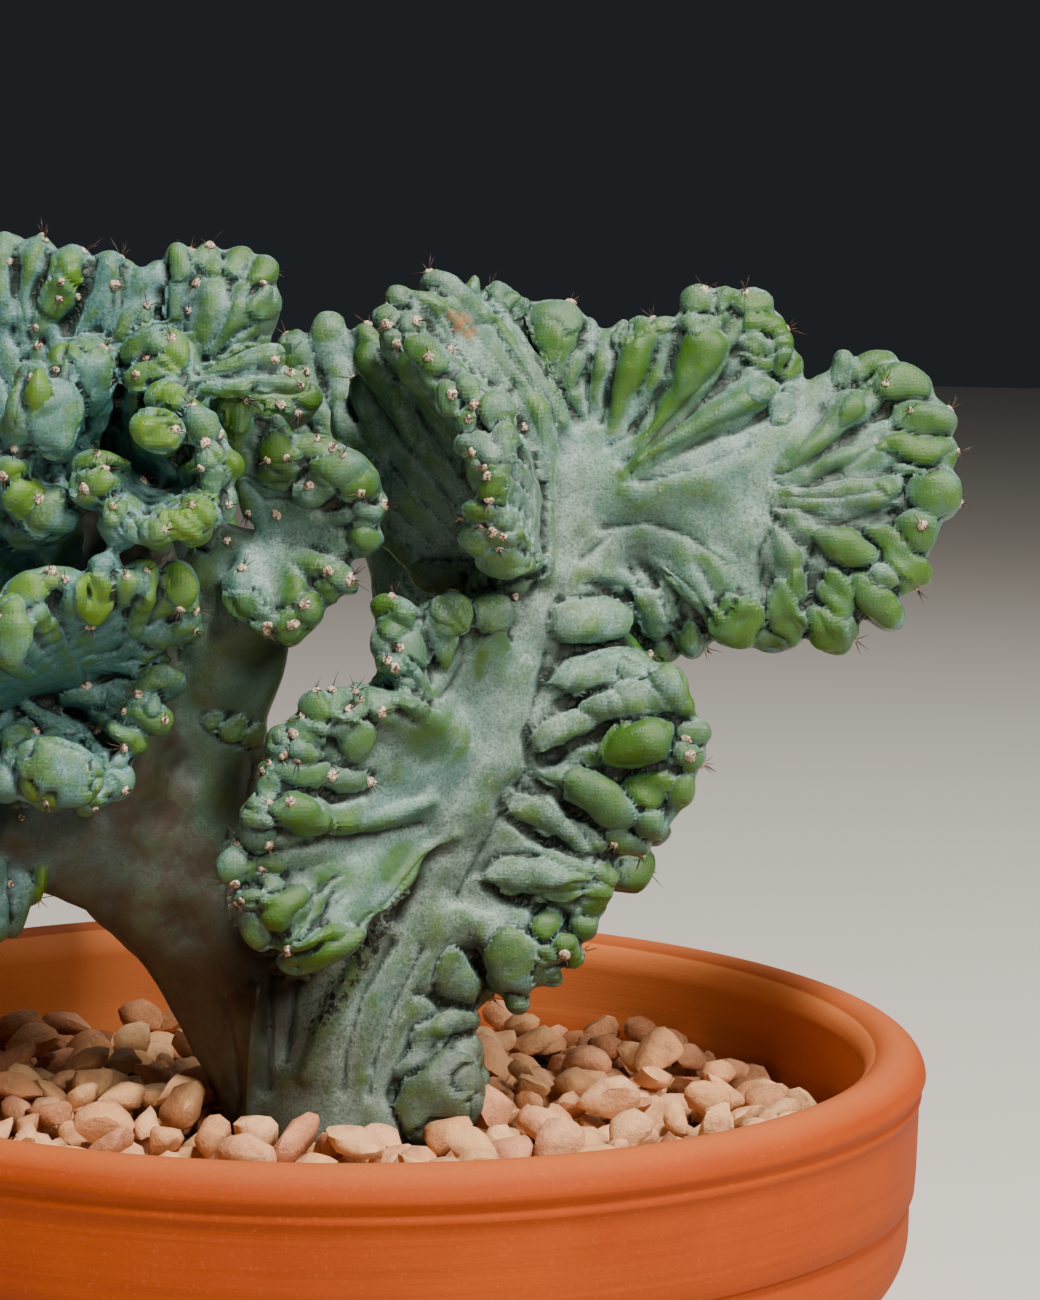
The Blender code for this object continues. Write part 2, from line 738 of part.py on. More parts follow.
def make_spine(name, foot, direction):
    """A three-sided needle, sunk into the knob that it stands on."""
    direction = unit(direction)
    side = unit(np.cross(direction, [0.31, 0.17, 0.93]))
    face = np.cross(direction, side)
    start = foot - direction * SPINE_SINK
    points = [start + SPINE_RADIUS * (side * math.cos(a) + face * math.sin(a))
              for a in (0, 2 * math.pi / 3, 4 * math.pi / 3)]
    points.append(foot + direction * SPINE_LENGTH)
    return mesh_object(name, points, [(0, 1, 2), (0, 1, 3), (1, 2, 3), (2, 0, 3)])


def make_cactus():
    """The plant, one grown body: its foot and stems, the ribs of every crest, and the spines."""
    draw = random.Random(7)
    skin = material("glaucous_skin", (0.2, 0.33, 0.25), 0.6)
    cactus = oval_plug("cactus", FOOT_BOTTOM, FOOT_TOP, 0, skin)
    parts = [limb(name, stations) for name, stations in LIMBS.items()]
    for name, crest in CRESTS.items():
        sheet, tips = crest_sheet(name, crest, draw)
        parts.append(sheet)
        for tip, out, face in tips[::3]:
            parts.append(make_spine(f"{name}_spine", tip, out + face * draw.uniform(-0.8, 0.8)))
    combine(cactus, parts, "UNION", "MANIFOLD")
    around_foot = turned("around_foot", [(0, 0), (2 * BOWL_RADIUS, 0), (2 * BOWL_RADIUS, CHIP_TOP + GAP),
                                         (0, CHIP_TOP + GAP)], BOWL_SIDES)
    combine(around_foot, [oval_plug("keep", -BOWL_HEIGHT, 2 * BOWL_HEIGHT, 0)], "DIFFERENCE", "MANIFOLD")
    combine(cactus, [around_foot], "DIFFERENCE", "MANIFOLD")
    keep_largest_body(cactus)
    return cactus


for old in list(bpy.data.objects):
    bpy.data.objects.remove(old)
make_cactus()
make_chips()
make_soil()
make_bowl()
for obj in bpy.data.objects:
    print(obj.name, sum(len(p.vertices) - 2 for p in obj.data.polygons), "triangles")
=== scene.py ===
"""The looks of a crested blue candle cactus in a low terracotta bowl with stone chips.

Metres, +Z up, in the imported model's own frame. Each section makes one piece or a group of like
pieces: the bowl, the plant, its wool and spines, the soil and the chips round its foot, and then
the studio.
"""

import math

import bmesh
import bpy
import numpy as np
from mathutils import Matrix, Vector
from mathutils.bvhtree import BVHTree


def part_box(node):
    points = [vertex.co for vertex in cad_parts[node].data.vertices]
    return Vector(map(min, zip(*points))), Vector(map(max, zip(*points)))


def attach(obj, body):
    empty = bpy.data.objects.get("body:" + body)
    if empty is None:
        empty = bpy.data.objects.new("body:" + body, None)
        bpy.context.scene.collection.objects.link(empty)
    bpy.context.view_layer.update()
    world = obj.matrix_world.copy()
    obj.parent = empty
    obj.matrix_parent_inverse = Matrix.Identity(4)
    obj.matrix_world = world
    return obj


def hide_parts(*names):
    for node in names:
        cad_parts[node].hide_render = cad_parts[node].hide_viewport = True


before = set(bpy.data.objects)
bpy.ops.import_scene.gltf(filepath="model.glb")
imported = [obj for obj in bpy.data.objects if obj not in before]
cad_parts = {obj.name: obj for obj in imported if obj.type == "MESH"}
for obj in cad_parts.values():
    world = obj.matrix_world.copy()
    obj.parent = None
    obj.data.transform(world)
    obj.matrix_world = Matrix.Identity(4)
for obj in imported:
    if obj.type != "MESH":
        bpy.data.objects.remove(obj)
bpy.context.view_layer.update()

# The bowl. A low bowl of red earthenware, thrown and turned on a wheel and fired without a
# glaze. The lip is a rolled bead, with a groove and a fine ridge under it and a plain collar
# that ends in a cut step. Its colour clouds a little, the lip is rubbed lighter and carries a
# painted highlight, and the inside is painted paler as painted light.
MM = 0.001
BOWL_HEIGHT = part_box("terracotta_pot")[1][2]
BOWL_RADIUS = 200 * MM
LIP_RADIUS = 10.3 * MM
LIP_ARC = (184, 6)
GROOVE_DROP = 11.9 * MM
NECK_DROPS = (34 * MM, 24 * MM)
NECK_FLARE = 0.6 * MM
BODY_RADIUS = 196 * MM
BODY_DROP = 61 * MM
BOWL_WALL = 13 * MM
INNER_RADIUS = BODY_RADIUS - BOWL_WALL
BOWL_FLOOR = 14 * MM
CORNER_RADIUS = 24 * MM
CORNER_TURN = 55
WHEEL_STEPS = 320
OUT_OF_ROUND = 0.35 * MM
DRAIN_HOLES = 3
DRAIN_START = 0.25
DRAIN_CIRCLE = 62 * MM
DRILL_PROFILE = np.array([(0, -5 * MM), (8 * MM, -5 * MM), (8 * MM, 20 * MM), (0, 20 * MM)])
MERGE_GAP = 0.001 * MM
CLAY = "#9a3b08"
CLAY_LIT = "#a5450e"
CLAY_DEEP = "#742d0c"
CLAY_DUST = "#c97c48"
# The paler colour of the bowl's inside is painted light.
CLAY_PAINTED_LIGHT = "#e0864a"
DIRT = "#2c1b12"

# From the groove down, as (mm in from the rim, mm down): the groove and the fine ridge, the
# plain collar, and the cut step over the body's shoulder.
UNDER_LIP = [
    (0.5, -1.6), (1.3, -0.5), (2.1, 0.3), (1.9, 1.1), (1.5, 2.2), (1.2, 3.4), (1.6, 4.3), (2.1, 5.0),
    (2.0, 9.0), (2.1, 20.0), (2.2, 28.0), (2.6, 34.9), (3.3, 35.9), (4.9, 36.6), (4.4, 37.7),
    (4.0, 40.1),
]


def linear(hex_colour):
    """An sRGB hex colour as the linear red, green, blue and alpha that a shader takes."""
    channels = [int(hex_colour[i:i + 2], 16) / 255 for i in (1, 3, 5)]
    return (*[c / 12.92 if c <= 0.04045 else ((c + 0.055) / 1.055) ** 2.4 for c in channels], 1.0)


def add(tree, kind, inputs, out=0, **settings):
    """Adds a node with its settings, fills or links its inputs, and gives one of its outputs.

    Inputs given by number: MapRange has the value at 0, where it starts and ends at 1 and 2 and
    what it gives there at 3 and 4, Mix has its share at 0 and its two colours at 6 and 7, and
    Math and VectorMath have their two values at 0 and 1.
    """
    node = tree.nodes.new("ShaderNode" + kind)
    for name, value in settings.items():
        setattr(node, name, value)
    for key, value in inputs.items():
        if isinstance(value, bpy.types.NodeSocket):
            tree.links.new(value, node.inputs[key])
        else:
            node.inputs[key].default_value = value
    return node.outputs[out]


def new_material(name):
    """An empty material, with its tree, its shader's inputs and its Object coordinates."""
    made = bpy.data.materials.new(name)
    made.use_nodes = True
    tree = made.node_tree
    return made, tree, tree.nodes["Principled BSDF"].inputs, add(tree, "TexCoord", {}, "Object")


def new_piece(name, points, faces, finish):
    """A smooth-shaded object with one material, from arrays of points and faces."""
    mesh = bpy.data.meshes.new(name)
    mesh.from_pydata(np.asarray(points).reshape(-1, 3), [], faces)
    mesh.materials.append(finish)
    mesh.shade_smooth()
    piece = bpy.data.objects.new(name, mesh)
    bpy.context.scene.collection.objects.link(piece)
    return piece


def grid_faces(rows, columns):
    """Quads over a grid of points that are numbered row by row, each row closed on itself."""
    row, column = np.meshgrid(np.arange(rows - 1), np.arange(columns), indexing="ij")
    below = (row + 1) * columns
    beside = (column + 1) % columns
    quads = [row * columns + column, row * columns + beside, below + beside, below + column]
    return np.stack(quads, axis=-1).reshape(-1, 4).tolist()


def sealed(piece):
    """Merges the points that meet at a pole, and turns every face outwards."""
    work = bmesh.new()
    work.from_mesh(piece.data)
    bmesh.ops.remove_doubles(work, verts=work.verts, dist=MERGE_GAP)
    bmesh.ops.recalc_face_normals(work, faces=work.faces)
    work.to_mesh(piece.data)
    work.free()


def arc(centre, radius, start, end, steps):
    """Profile points on an arc, with its angles in degrees from the way outwards."""
    angles = np.radians(np.linspace(start, end, steps + 1))
    return [(centre[0] + radius * math.cos(a), centre[1] + radius * math.sin(a)) for a in angles]


def bowl_profile():
    """The bowl's section, from the floor's middle up the inside, over the lip and down."""
    body = (BODY_RADIUS - CORNER_RADIUS, BOWL_HEIGHT - BODY_DROP)
    inner = arc(body, CORNER_RADIUS - BOWL_WALL, -CORNER_TURN, 0, 6)
    outer = arc(body, CORNER_RADIUS, 0, -CORNER_TURN, 10)
    slope = math.tan(math.radians(CORNER_TURN))
    inner_foot = inner[0][0] - (inner[0][1] - BOWL_FLOOR) * slope
    outer_foot = outer[-1][0] - outer[-1][1] * slope
    lip = (BOWL_RADIUS - LIP_RADIUS, BOWL_HEIGHT - LIP_RADIUS)
    inside = [(0.0, BOWL_FLOOR), (inner_foot, BOWL_FLOOR), *inner,
              (inner[-1][0], BOWL_HEIGHT - NECK_DROPS[0]),
              (inner[-1][0] - NECK_FLARE, BOWL_HEIGHT - NECK_DROPS[1])]
    collar = [(BOWL_RADIUS - inwards * MM, BOWL_HEIGHT - GROOVE_DROP - down * MM)
              for inwards, down in UNDER_LIP]
    return np.array([*inside, *arc(lip, LIP_RADIUS, *LIP_ARC, 26), *collar, *outer,
                     (outer_foot, 0.0), (0.0, 0.0)])


def spun(profile, wobble):
    """A profile of (radius, height) turned round Z, out of round by two slow sines."""
    angles = np.linspace(0, 2 * math.pi, WHEEL_STEPS, endpoint=False)
    drift = wobble * (np.sin(2 * angles + 0.6) + 0.4 * np.sin(5 * angles + 2.0))
    radius = profile[:, :1] * (1 + drift / BOWL_RADIUS)
    height = np.broadcast_to(profile[:, 1:], radius.shape)
    return np.stack([radius * np.cos(angles), radius * np.sin(angles), height], axis=-1)


# Unglazed terracotta, turned on a wheel: matte and dense, with fine rings and a gritty skin.
clay, tree, shader, place = new_material("unglazed_terracotta_turned")
cloud, grit, blotch = (
    add(tree, "TexNoise", {"Vector": place, "Scale": 1 / (size * MM), "Detail": detail, "Roughness": rough})
    for size, detail, rough in ((70, 5, 0.6), (1.6, 3, 0.6), (6, 6, 0.75)))
ringed = add(tree, "Mapping", {"Vector": place, "Scale": (8, 8, 400)})
rings = add(tree, "TexNoise", {"Vector": ringed, "Scale": 1.0, "Detail": 4, "Roughness": 0.55})
height = add(tree, "SeparateXYZ", {0: place}, 2)
flat = add(tree, "VectorMath", {0: place, 1: (1, 1, 0)}, operation="MULTIPLY")
radius = add(tree, "VectorMath", {0: flat}, "Value", operation="LENGTH")
clouded = add(tree, "MapRange", {0: cloud, 1: 0.35, 2: 0.65})
ring_mark = add(tree, "MapRange", {0: rings, 1: 0.5, 2: 0.75, 4: 0.3})
grit_mark = add(tree, "MapRange", {0: grit, 1: 0.58, 2: 0.78, 4: 0.2})
# The top of the lip is paler: partly rubbed wear, partly a painted highlight.
rubbed = add(tree, "MapRange", {0: height, 1: BOWL_HEIGHT - 5 * MM, 2: BOWL_HEIGHT, 4: 0.35})
# The inside is painted paler, as painted light on its wall, with specks of soil low down, over the chips.
inside = add(tree, "MapRange", {0: radius, 1: INNER_RADIUS + 0.6 * MM, 2: INNER_RADIUS})
painted_inside_light = add(tree, "Math", {0: inside, 1: 0.75}, operation="MULTIPLY")
low = add(tree, "MapRange", {0: height, 1: BOWL_HEIGHT - 22 * MM, 2: BOWL_HEIGHT - 42 * MM})
shade = add(tree, "Math", {0: inside, 1: low}, operation="MULTIPLY")
speck = add(tree, "MapRange", {0: blotch, 1: 0.62, 2: 0.7})
speck = add(tree, "Math", {0: speck, 1: shade}, operation="MULTIPLY")
colour = linear(CLAY)
for share, tint in ((clouded, CLAY_LIT), (ring_mark, CLAY_DEEP), (grit_mark, CLAY_DUST),
                    (rubbed, CLAY_DUST), (painted_inside_light, CLAY_PAINTED_LIGHT), (speck, DIRT)):
    colour = add(tree, "Mix", {0: share, 6: colour, 7: linear(tint)}, 2, data_type="RGBA")
tree.links.new(colour, shader["Base Color"])
tree.links.new(add(tree, "MapRange", {0: cloud, 1: 0.3, 2: 0.7, 3: 0.6, 4: 0.78}), shader["Roughness"])
shader["Specular IOR Level"].default_value = 0.2
fine = add(tree, "Bump", {"Height": grit, "Strength": 0.2, "Distance": 0.4 * MM})
turned = add(tree, "Bump", {"Height": rings, "Strength": 0.25, "Distance": 0.8 * MM, "Normal": fine})
tree.links.new(turned, shader["Normal"])

section = bowl_profile()
bowl = new_piece("bowl", spun(section, OUT_OF_ROUND), grid_faces(len(section), WHEEL_STEPS), clay)
sealed(bowl)
for number in range(DRAIN_HOLES):
    angle = 2 * math.pi * (number + DRAIN_START) / DRAIN_HOLES
    middle = (DRAIN_CIRCLE * math.cos(angle), DRAIN_CIRCLE * math.sin(angle), 0)
    drill = new_piece("drill", spun(DRILL_PROFILE, 0) + middle, grid_faces(4, WHEEL_STEPS), clay)
    sealed(drill)
    bore = bowl.modifiers.new("bore", "BOOLEAN")
    bore.object = drill
    bore.operation = "DIFFERENCE"
    depsgraph = bpy.context.evaluated_depsgraph_get()
    bowl.data = bpy.data.meshes.new_from_object(bowl.evaluated_get(depsgraph))
    bowl.modifiers.clear()
    bpy.data.objects.remove(drill)
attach(bowl, "root")
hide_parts("terracotta_pot")

# The plant. One grown body of a blue candle cactus whose growing points have widened into
# crests. Each crest is a fan of ribs from a root line on a stem to an edge line that folds over
# itself, and every rib ends in a knob. The skin is firm, with a pale wax bloom.
EYE = np.array([-70.3 * MM, -1300 * MM, BOWL_HEIGHT + 284.2 * MM])
EYE_YAW, EYE_PITCH, EYE_ROLL = (math.radians(a) for a in (5.85, 6.93, 1.38))
EYE_FOCAL_PX = 3983.0
PICTURE_SIZE = (1040, 1300)
PLANT_REACH = (1.15, 1.45)
VOXEL = 1.2 * MM
CUTS = {"foot": 142 * MM, "left": 260 * MM, "right": 240 * MM}
THIN_SHEET = 24 * MM
PIXEL_MM = 0.326
LIMB_STEPS = 14
LIMB_SIDES = 48
FLUTES = 5
FLUTE_HEIGHT = 0.06
FLUTE_TWIST = 4
RIB_WIDTHS = (0.7, 1.3)
RIB_FULLNESS = (0.85, 1.18)
RIB_REACH_MM = 2.5
RIB_STAGGER_MM = 2.6
RIB_CURL_MM = 3
RIB_END = 0.55
SHEET_THICKNESS = 0.87
FURROW_AT_EDGE = 0.7
KNOB_SWELLS = (0.12, 0.34)
KNOB_PLACE = 0.95
NECK_PLACE = 2.3
YOUNG_LENGTH = 42 * MM
KNOB_RISE = 0.3
RIM_WIDTH = 0.9
RIM_DEPTH = 0.4
MEETING_DEPTH = 0.9
MEETING_WIDTH = 0.4
FOLD_DEPTH = 0.9
FOLD_SUNK = 0.32
FOLD_LEAP = 16 * MM
OLD_FOOT = 0.6
OLD_HEIGHTS = (150 * MM, 75 * MM)
GROOVE_DEPTH = 1.2 * MM
LOBE_RISE = 0.1
LOBE_SPREAD = 1.02
LOW_LOBE = 0.2
LOOSE_LOBE = 0.46
JOINT_RATE = 0.5
FIRM_RATE_DROP = 0.38
KNOB_RATE = 0.36
SOFTENING_ROUNDS = 28
RIB_SAMPLES = 10
EDGE_SAMPLES = 40
WAY_SAMPLES = 26
FOLD_STEPS = 12
FORM_SIDES = 24
PILLOW_RINGS = 21
PILLOW_END = 86
CELL_PX = 6
CELLS = 300
CELLS_START = (-400, -100)
HIDDEN_GAP = 7 * MM
WAVES = 7
WANDER_PX = 3
WANDER_SIZE = 14 * MM
RIB_MARGIN_PX = 50
RIB_HALF_PX = 14
UNEVEN_HEIGHT = 0.5 * MM
UNEVEN_SIZE = 17 * MM
WRINKLE_HEIGHT = 0.2 * MM
WRINKLE_SIZE = 6 * MM
SHARPENING = (0.7, 0.3)
SHARPEN_LIMITS = (-0.6 * MM, 0.8 * MM)
BROAD_ROUNDS = 24
FINE_ROUNDS = 5
RAISED_SPAN = 5 * MM
CREASE_SPAN = 1.6 * MM
FORM_GROWTH = (0, 0.5, 0, 1)
SKIN_DEEP = "#1d4743"
SKIN_PALE = "#336c6e"
SKIN_BLUE = "#1f6068"
SKIN_OLIVE = "#3d6525"
WAX = "#adc7bb"
WAX_BLUE = "#9cc4c6"
SCURF = "#d2dcd4"
PORE = "#1d4038"
FRESH = "#38600a"
FRESH_BRIGHT = "#567d0c"
# The cork colour is real cork, made darker partly as painted shade for the shaded left limb.
CORK = "#3b342b"
# Painted shade for the hollows and the clefts.
PAINTED_HOLLOW_SHADE = "#13291f"
PAINTED_CLEFT_SHADE = "#0e2018"
SPECK = "#151a16"
SCAB = "#8c6b4b"

eye_ahead = np.array([math.sin(EYE_YAW) * math.cos(EYE_PITCH),
                      math.cos(EYE_YAW) * math.cos(EYE_PITCH), -math.sin(EYE_PITCH)])
eye_level = np.array([math.cos(EYE_YAW), -math.sin(EYE_YAW), 0.0])
eye_upright = np.cross(eye_level, eye_ahead)
eye_right = eye_level * math.cos(EYE_ROLL) + eye_upright * math.sin(EYE_ROLL)
eye_up = eye_upright * math.cos(EYE_ROLL) - eye_level * math.sin(EYE_ROLL)

# Stems, each a list of (pixel x, pixel y, depth in mm, half width in mm, half thickness in mm).
LIMBS = {
    "stem": [(352, 1175, 4, 34, 30), (356, 1085, 4, 38, 29), (392, 960, 0, 31, 22),
             (446, 850, -5, 27, 17), (490, 740, -8, 25, 15), (530, 620, -6, 23, 13),
             (570, 520, -2, 25, 11), (600, 435, 2, 17, 9)],
    "left_limb": [(330, 1170, 8, 30, 28), (292, 1060, 10, 29, 26), (225, 950, 14, 25, 23),
                  (150, 855, 12, 27, 22), (112, 740, 8, 30, 22), (92, 620, 5, 30, 20),
                  (82, 510, 5, 25, 15), (78, 465, 5, 12, 7)],
    "middle_limb": [(180, 880, 16, 24, 20), (205, 745, 12, 20, 17), (225, 640, 0, 21, 15),
                    (255, 535, -8, 19, 10)],
    "hand_arm": [(560, 500, 2, 24, 11), (640, 492, -4, 23, 10), (710, 490, -8, 19, 9),
                 (760, 492, -9, 12, 8), (800, 495, -9, 5, 5)],
    "far_left_arm": [(150, 860, 12, 24, 20), (70, 838, 2, 21, 18), (-10, 815, -10, 17, 13)],
    "rear_limb": [(470, 740, 10, 16, 13), (425, 640, 36, 14, 12), (396, 545, 52, 12, 10),
                  (350, 440, 66, 9, 7)],
}

# The growth values of each stem's skin: how far in a furrow, how green (0.5 is plain, less is
# paler), how corky and how firm. A single rib or knob has FORM_GROWTH.
LIMB_SKIN = {
    "stem": (0, 0.3, 0.25, 0),
    "left_limb": (0, 0.6, 1, 0),
    "middle_limb": (0, 0.6, 0.5, 0),
    "hand_arm": (0, 0.5, 0, 0),
    "far_left_arm": (0, 0.45, 0.8, 0),
    "rear_limb": (0, 0.3, 0, 0),
}

# Crests: (rib spacing mm, thickness mm, thickness share at the root, furrow depth at the root,
# where along a rib the furrows deepen, how far knobs swell, stations), and each station is an
# edge point and its root point, as (pixel x, pixel y, depth mm).
CRESTS = {
    "right_side": (19, 20, 0.3, 0.5, 0.3, 0.3, [
        ((450, 1128, -22), (392, 1120, 0)), ((482, 1062, -16), (410, 1050, 0)),
        ((492, 1000, -8), (425, 970, -4)), ((560, 970, -16), (450, 900, -8)),
        ((598, 905, -16), (478, 845, -8)), ((640, 850, -16), (492, 795, -8)),
        ((690, 795, -20), (508, 745, -10)), ((706, 738, -20), (520, 705, -10)),
        ((672, 680, -14), (534, 660, -8)), ((642, 628, -2), (548, 610, -6))]),
    "hand": (15, 20, 0.75, 0.04, 0.45, 0.3, [
        ((650, 655, 8), (590, 530, 0)), ((700, 655, -2), (640, 510, -5)),
        ((740, 645, -14), (690, 500, -8)), ((790, 640, -16), (720, 500, -9)),
        ((845, 640, -18), (740, 498, -9)), ((895, 605, -20), (750, 496, -9)),
        ((935, 560, -18), (755, 494, -9)), ((957, 500, -14), (757, 491, -9)),
        ((957, 440, -8), (755, 488, -9)), ((925, 390, -3), (745, 485, -9)),
        ((880, 362, 2), (725, 483, -8)), ((838, 366, 6), (695, 480, -7))]),
    "top_edge": (14, 18, 0.7, 0.12, 0.25, 0.25, [
        ((805, 385, 8), (680, 492, -6)), ((790, 345, 2), (660, 485, -5)),
        ((752, 298, 0), (645, 480, -4)), ((700, 298, 0), (630, 475, -3)),
        ((650, 322, 2), (615, 470, -2)), ((606, 326, 6), (600, 465, 0)),
        ((560, 308, 12), (585, 465, 0)), ((515, 296, 14), (570, 468, 0)),
        ((470, 284, 8), (560, 475, -2))]),
    "hood": (12, 16, 0.5, 0.15, 0.3, 0.35, [
        ((468, 283, 6), (562, 430, 0)), ((425, 281, -2), (556, 455, -5)),
        ((392, 302, -14), (550, 478, -8)), ((400, 338, -30), (545, 492, -10)),
        ((446, 366, -44), (540, 505, -11)), ((482, 402, -54), (536, 515, -12)),
        ((478, 446, -58), (535, 525, -13)), ((482, 490, -58), (535, 540, -14)),
        ((490, 530, -54), (536, 555, -15)), ((508, 580, -44), (540, 572, -14))]),
    "curtain": (12, 15, 0.3, 0.3, 0.2, 0.6, [
        ((408, 308, 2), (530, 520, -4)), ((372, 338, 8), (505, 540, -1)),
        ((344, 378, 14), (490, 560, 1)), ((335, 425, 18), (480, 580, 2)),
        ((344, 475, 20), (474, 600, 2)), ((372, 525, 18), (470, 618, 2))]),
    "ear": (11, 17, 0.9, 0.05, 0.5, 0.35, [
        ((498, 606, -20), (512, 655, -12)), ((452, 596, -26), (494, 675, -14)),
        ((395, 602, -30), (476, 700, -15)), ((378, 645, -36), (464, 720, -16)),
        ((398, 684, -40), (460, 740, -16)), ((352, 692, -44), (452, 758, -16)),
        ((305, 704, -47), (446, 770, -16)), ((272, 745, -50), (440, 786, -15)),
        ((258, 795, -52), (434, 800, -15)), ((234, 852, -53), (430, 814, -14)),
        ((246, 910, -52), (428, 828, -13)), ((282, 952, -50), (430, 842, -12)),
        ((328, 962, -44), (436, 860, -10))]),
    "rear_ear": (17, 20, 0.3, 0.3, 0.3, 1.0, [
        ((640, 900, 36), (480, 870, 8)), ((665, 800, 50), (500, 790, 8)),
        ((640, 700, 60), (515, 720, 8)), ((560, 640, 64), (520, 690, 8)),
        ((470, 650, 60), (510, 710, 8)), ((420, 720, 54), (490, 760, 8)),
        ((400, 810, 46), (470, 810, 8))]),
    "rear_branch": (13, 16, 0.5, 0.2, 0.3, 1.0, [
        ((300, 434, 74), (372, 545, 56)), ((278, 376, 77), (366, 525, 57)),
        ((298, 330, 78), (362, 505, 58)), ((346, 316, 76), (364, 490, 59)),
        ((388, 340, 74), (374, 484, 60)), ((412, 396, 74), (386, 490, 60))]),
    "crotch_tuft": (14, 15, 0.4, 0.2, 0.3, 1.0, [
        ((206, 724, 44), (228, 800, 24)), ((240, 712, 48), (238, 800, 24)),
        ((272, 740, 46), (246, 806, 24))]),
    "left_back": (13, 20, 0.4, 0.3, 0.2, 0.6, [
        ((-205, 470, 24), (-20, 600, 14)), ((-190, 380, 30), (0, 580, 15)),
        ((-140, 300, 34), (20, 550, 16)), ((-75, 250, 34), (45, 520, 16)),
        ((-10, 232, 32), (65, 495, 16)), ((50, 230, 28), (85, 480, 16)),
        ((105, 248, 24), (105, 470, 15)), ((165, 254, 22), (125, 460, 14)),
        ((225, 250, 20), (145, 452, 13)), ((276, 282, 16), (160, 448, 12)),
        ((272, 328, 12), (172, 450, 10))]),
    "pointing_fingers": (15, 17, 0.3, 0.4, 0.2, 0.8, [
        ((268, 352, 8), (150, 440, 6)), ((306, 376, 4), (160, 455, 3)),
        ((322, 410, -4), (170, 470, 0))]),
    "front_fold": (14, 18, 0.5, 0.15, 0.35, 0.3, [
        ((-90, 500, -26), (30, 560, 2)), ((-45, 448, -36), (45, 540, 0)),
        ((12, 424, -46), (60, 520, -2)), ((34, 372, -50), (70, 500, -2)),
        ((88, 348, -40), (85, 490, -2)), ((112, 374, -36), (100, 485, -2))]),
    "front_knot": (14, 18, 0.4, 0.2, 0.3, 0.3, [
        ((122, 366, -34), (110, 480, -2)), ((156, 336, -38), (125, 470, -2)),
        ((190, 360, -38), (140, 465, -2)), ((178, 404, -54), (140, 475, -5)),
        ((150, 436, -62), (140, 485, -8))]),
    "cup": (13, 16, 0.7, 0.1, 0.45, 0.3, [
        ((200, 424, -50), (150, 480, -14)), ((224, 462, -58), (156, 486, -16)),
        ((220, 506, -62), (156, 492, -18)), ((188, 534, -64), (152, 496, -18)),
        ((146, 534, -64), (144, 496, -18)), ((108, 510, -62), (138, 492, -17)),
        ((80, 474, -58), (134, 486, -16)), ((104, 442, -52), (136, 480, -14))]),
    "star": (15, 17, 0.9, 0.05, 0.45, 0.35, [
        ((214, 404, -34), (240, 510, -6)), ((256, 402, -34), (246, 508, -7)),
        ((300, 436, -32), (254, 512, -8)), ((352, 446, -32), (260, 518, -9)),
        ((380, 486, -32), (264, 526, -9)), ((378, 545, -30), (266, 534, -9)),
        ((340, 586, -32), (264, 542, -9)), ((296, 632, -34), (258, 550, -9)),
        ((246, 614, -32), (250, 552, -9)), ((216, 580, -26), (242, 548, -8))]),
    "left_cheek": (15, 18, 0.5, 0.15, 0.4, 0.4, [
        ((-100, 560, -30), (20, 590, 0)), ((-40, 490, -42), (35, 575, 0)),
        ((14, 470, -48), (50, 560, 0)), ((42, 512, -46), (60, 560, 0)),
        ((66, 548, -38), (75, 580, 0))]),
    "shelf": (13, 17, 0.6, 0.15, 0.4, 0.35, [
        ((-130, 690, -48), (20, 700, -6)), ((-70, 660, -58), (40, 690, -10)),
        ((-10, 628, -64), (60, 680, -14)), ((36, 590, -68), (80, 675, -18)),
        ((90, 574, -68), (95, 670, -20)), ((145, 570, -62), (110, 670, -18)),
        ((188, 582, -54), (120, 672, -14)), ((194, 636, -46), (122, 680, -10))]),
    "skirt": (13, 16, 0.3, 0.35, 0.25, 0.4, [
        ((186, 660, -42), (100, 690, -8)), ((166, 700, -40), (92, 700, -8)),
        ((136, 756, -42), (82, 708, -8)), ((102, 800, -48), (70, 712, -8)),
        ((56, 812, -52), (56, 712, -8)), ((6, 800, -52), (42, 708, -8)),
        ((-44, 776, -48), (28, 700, -6)), ((-96, 750, -42), (16, 690, -2))]),
    "drooping_end": (14, 16, 0.3, 0.35, 0.3, 1.0, [
        ((40, 872, -8), (10, 800, -6)), ((26, 930, -16), (0, 800, -8)),
        ((-12, 952, -22), (-10, 800, -10)), ((-60, 920, -28), (-20, 795, -12)),
        ((-100, 860, -30), (-26, 785, -12))]),
    "left_side": (17, 20, 0.3, 0.3, 0.3, 1.0, [
        ((-215, 500, 16), (-40, 620, 8)), ((-236, 570, 8), (-40, 640, 4)),
        ((-232, 650, -4), (-36, 670, 0)), ((-205, 725, -16), (-30, 700, -4)),
        ((-160, 790, -26), (-25, 740, -8)), ((-115, 840, -28), (-25, 770, -10))]),
    "left_rear": (18, 22, 0.3, 0.3, 0.3, 1.0, [
        ((-150, 720, 60), (20, 680, 18)), ((-175, 600, 76), (20, 620, 20)),
        ((-130, 480, 88), (40, 560, 20)), ((-40, 410, 96), (60, 520, 20)),
        ((60, 390, 98), (90, 500, 20)), ((150, 420, 94), (120, 510, 18)),
        ((215, 500, 86), (130, 560, 18)), ((205, 600, 76), (120, 620, 18)),
        ((150, 690, 66), (110, 680, 18))]),
}


def seen(px, py, depth):
    """The point whose y is depth, in mm, on the line of sight through a pixel."""
    sight = (eye_ahead + eye_right * (px - PICTURE_SIZE[0] / 2) / EYE_FOCAL_PX
             - eye_up * (py - PICTURE_SIZE[1] / 2) / EYE_FOCAL_PX)
    return EYE + sight * (depth * MM - EYE[1]) / sight[1]


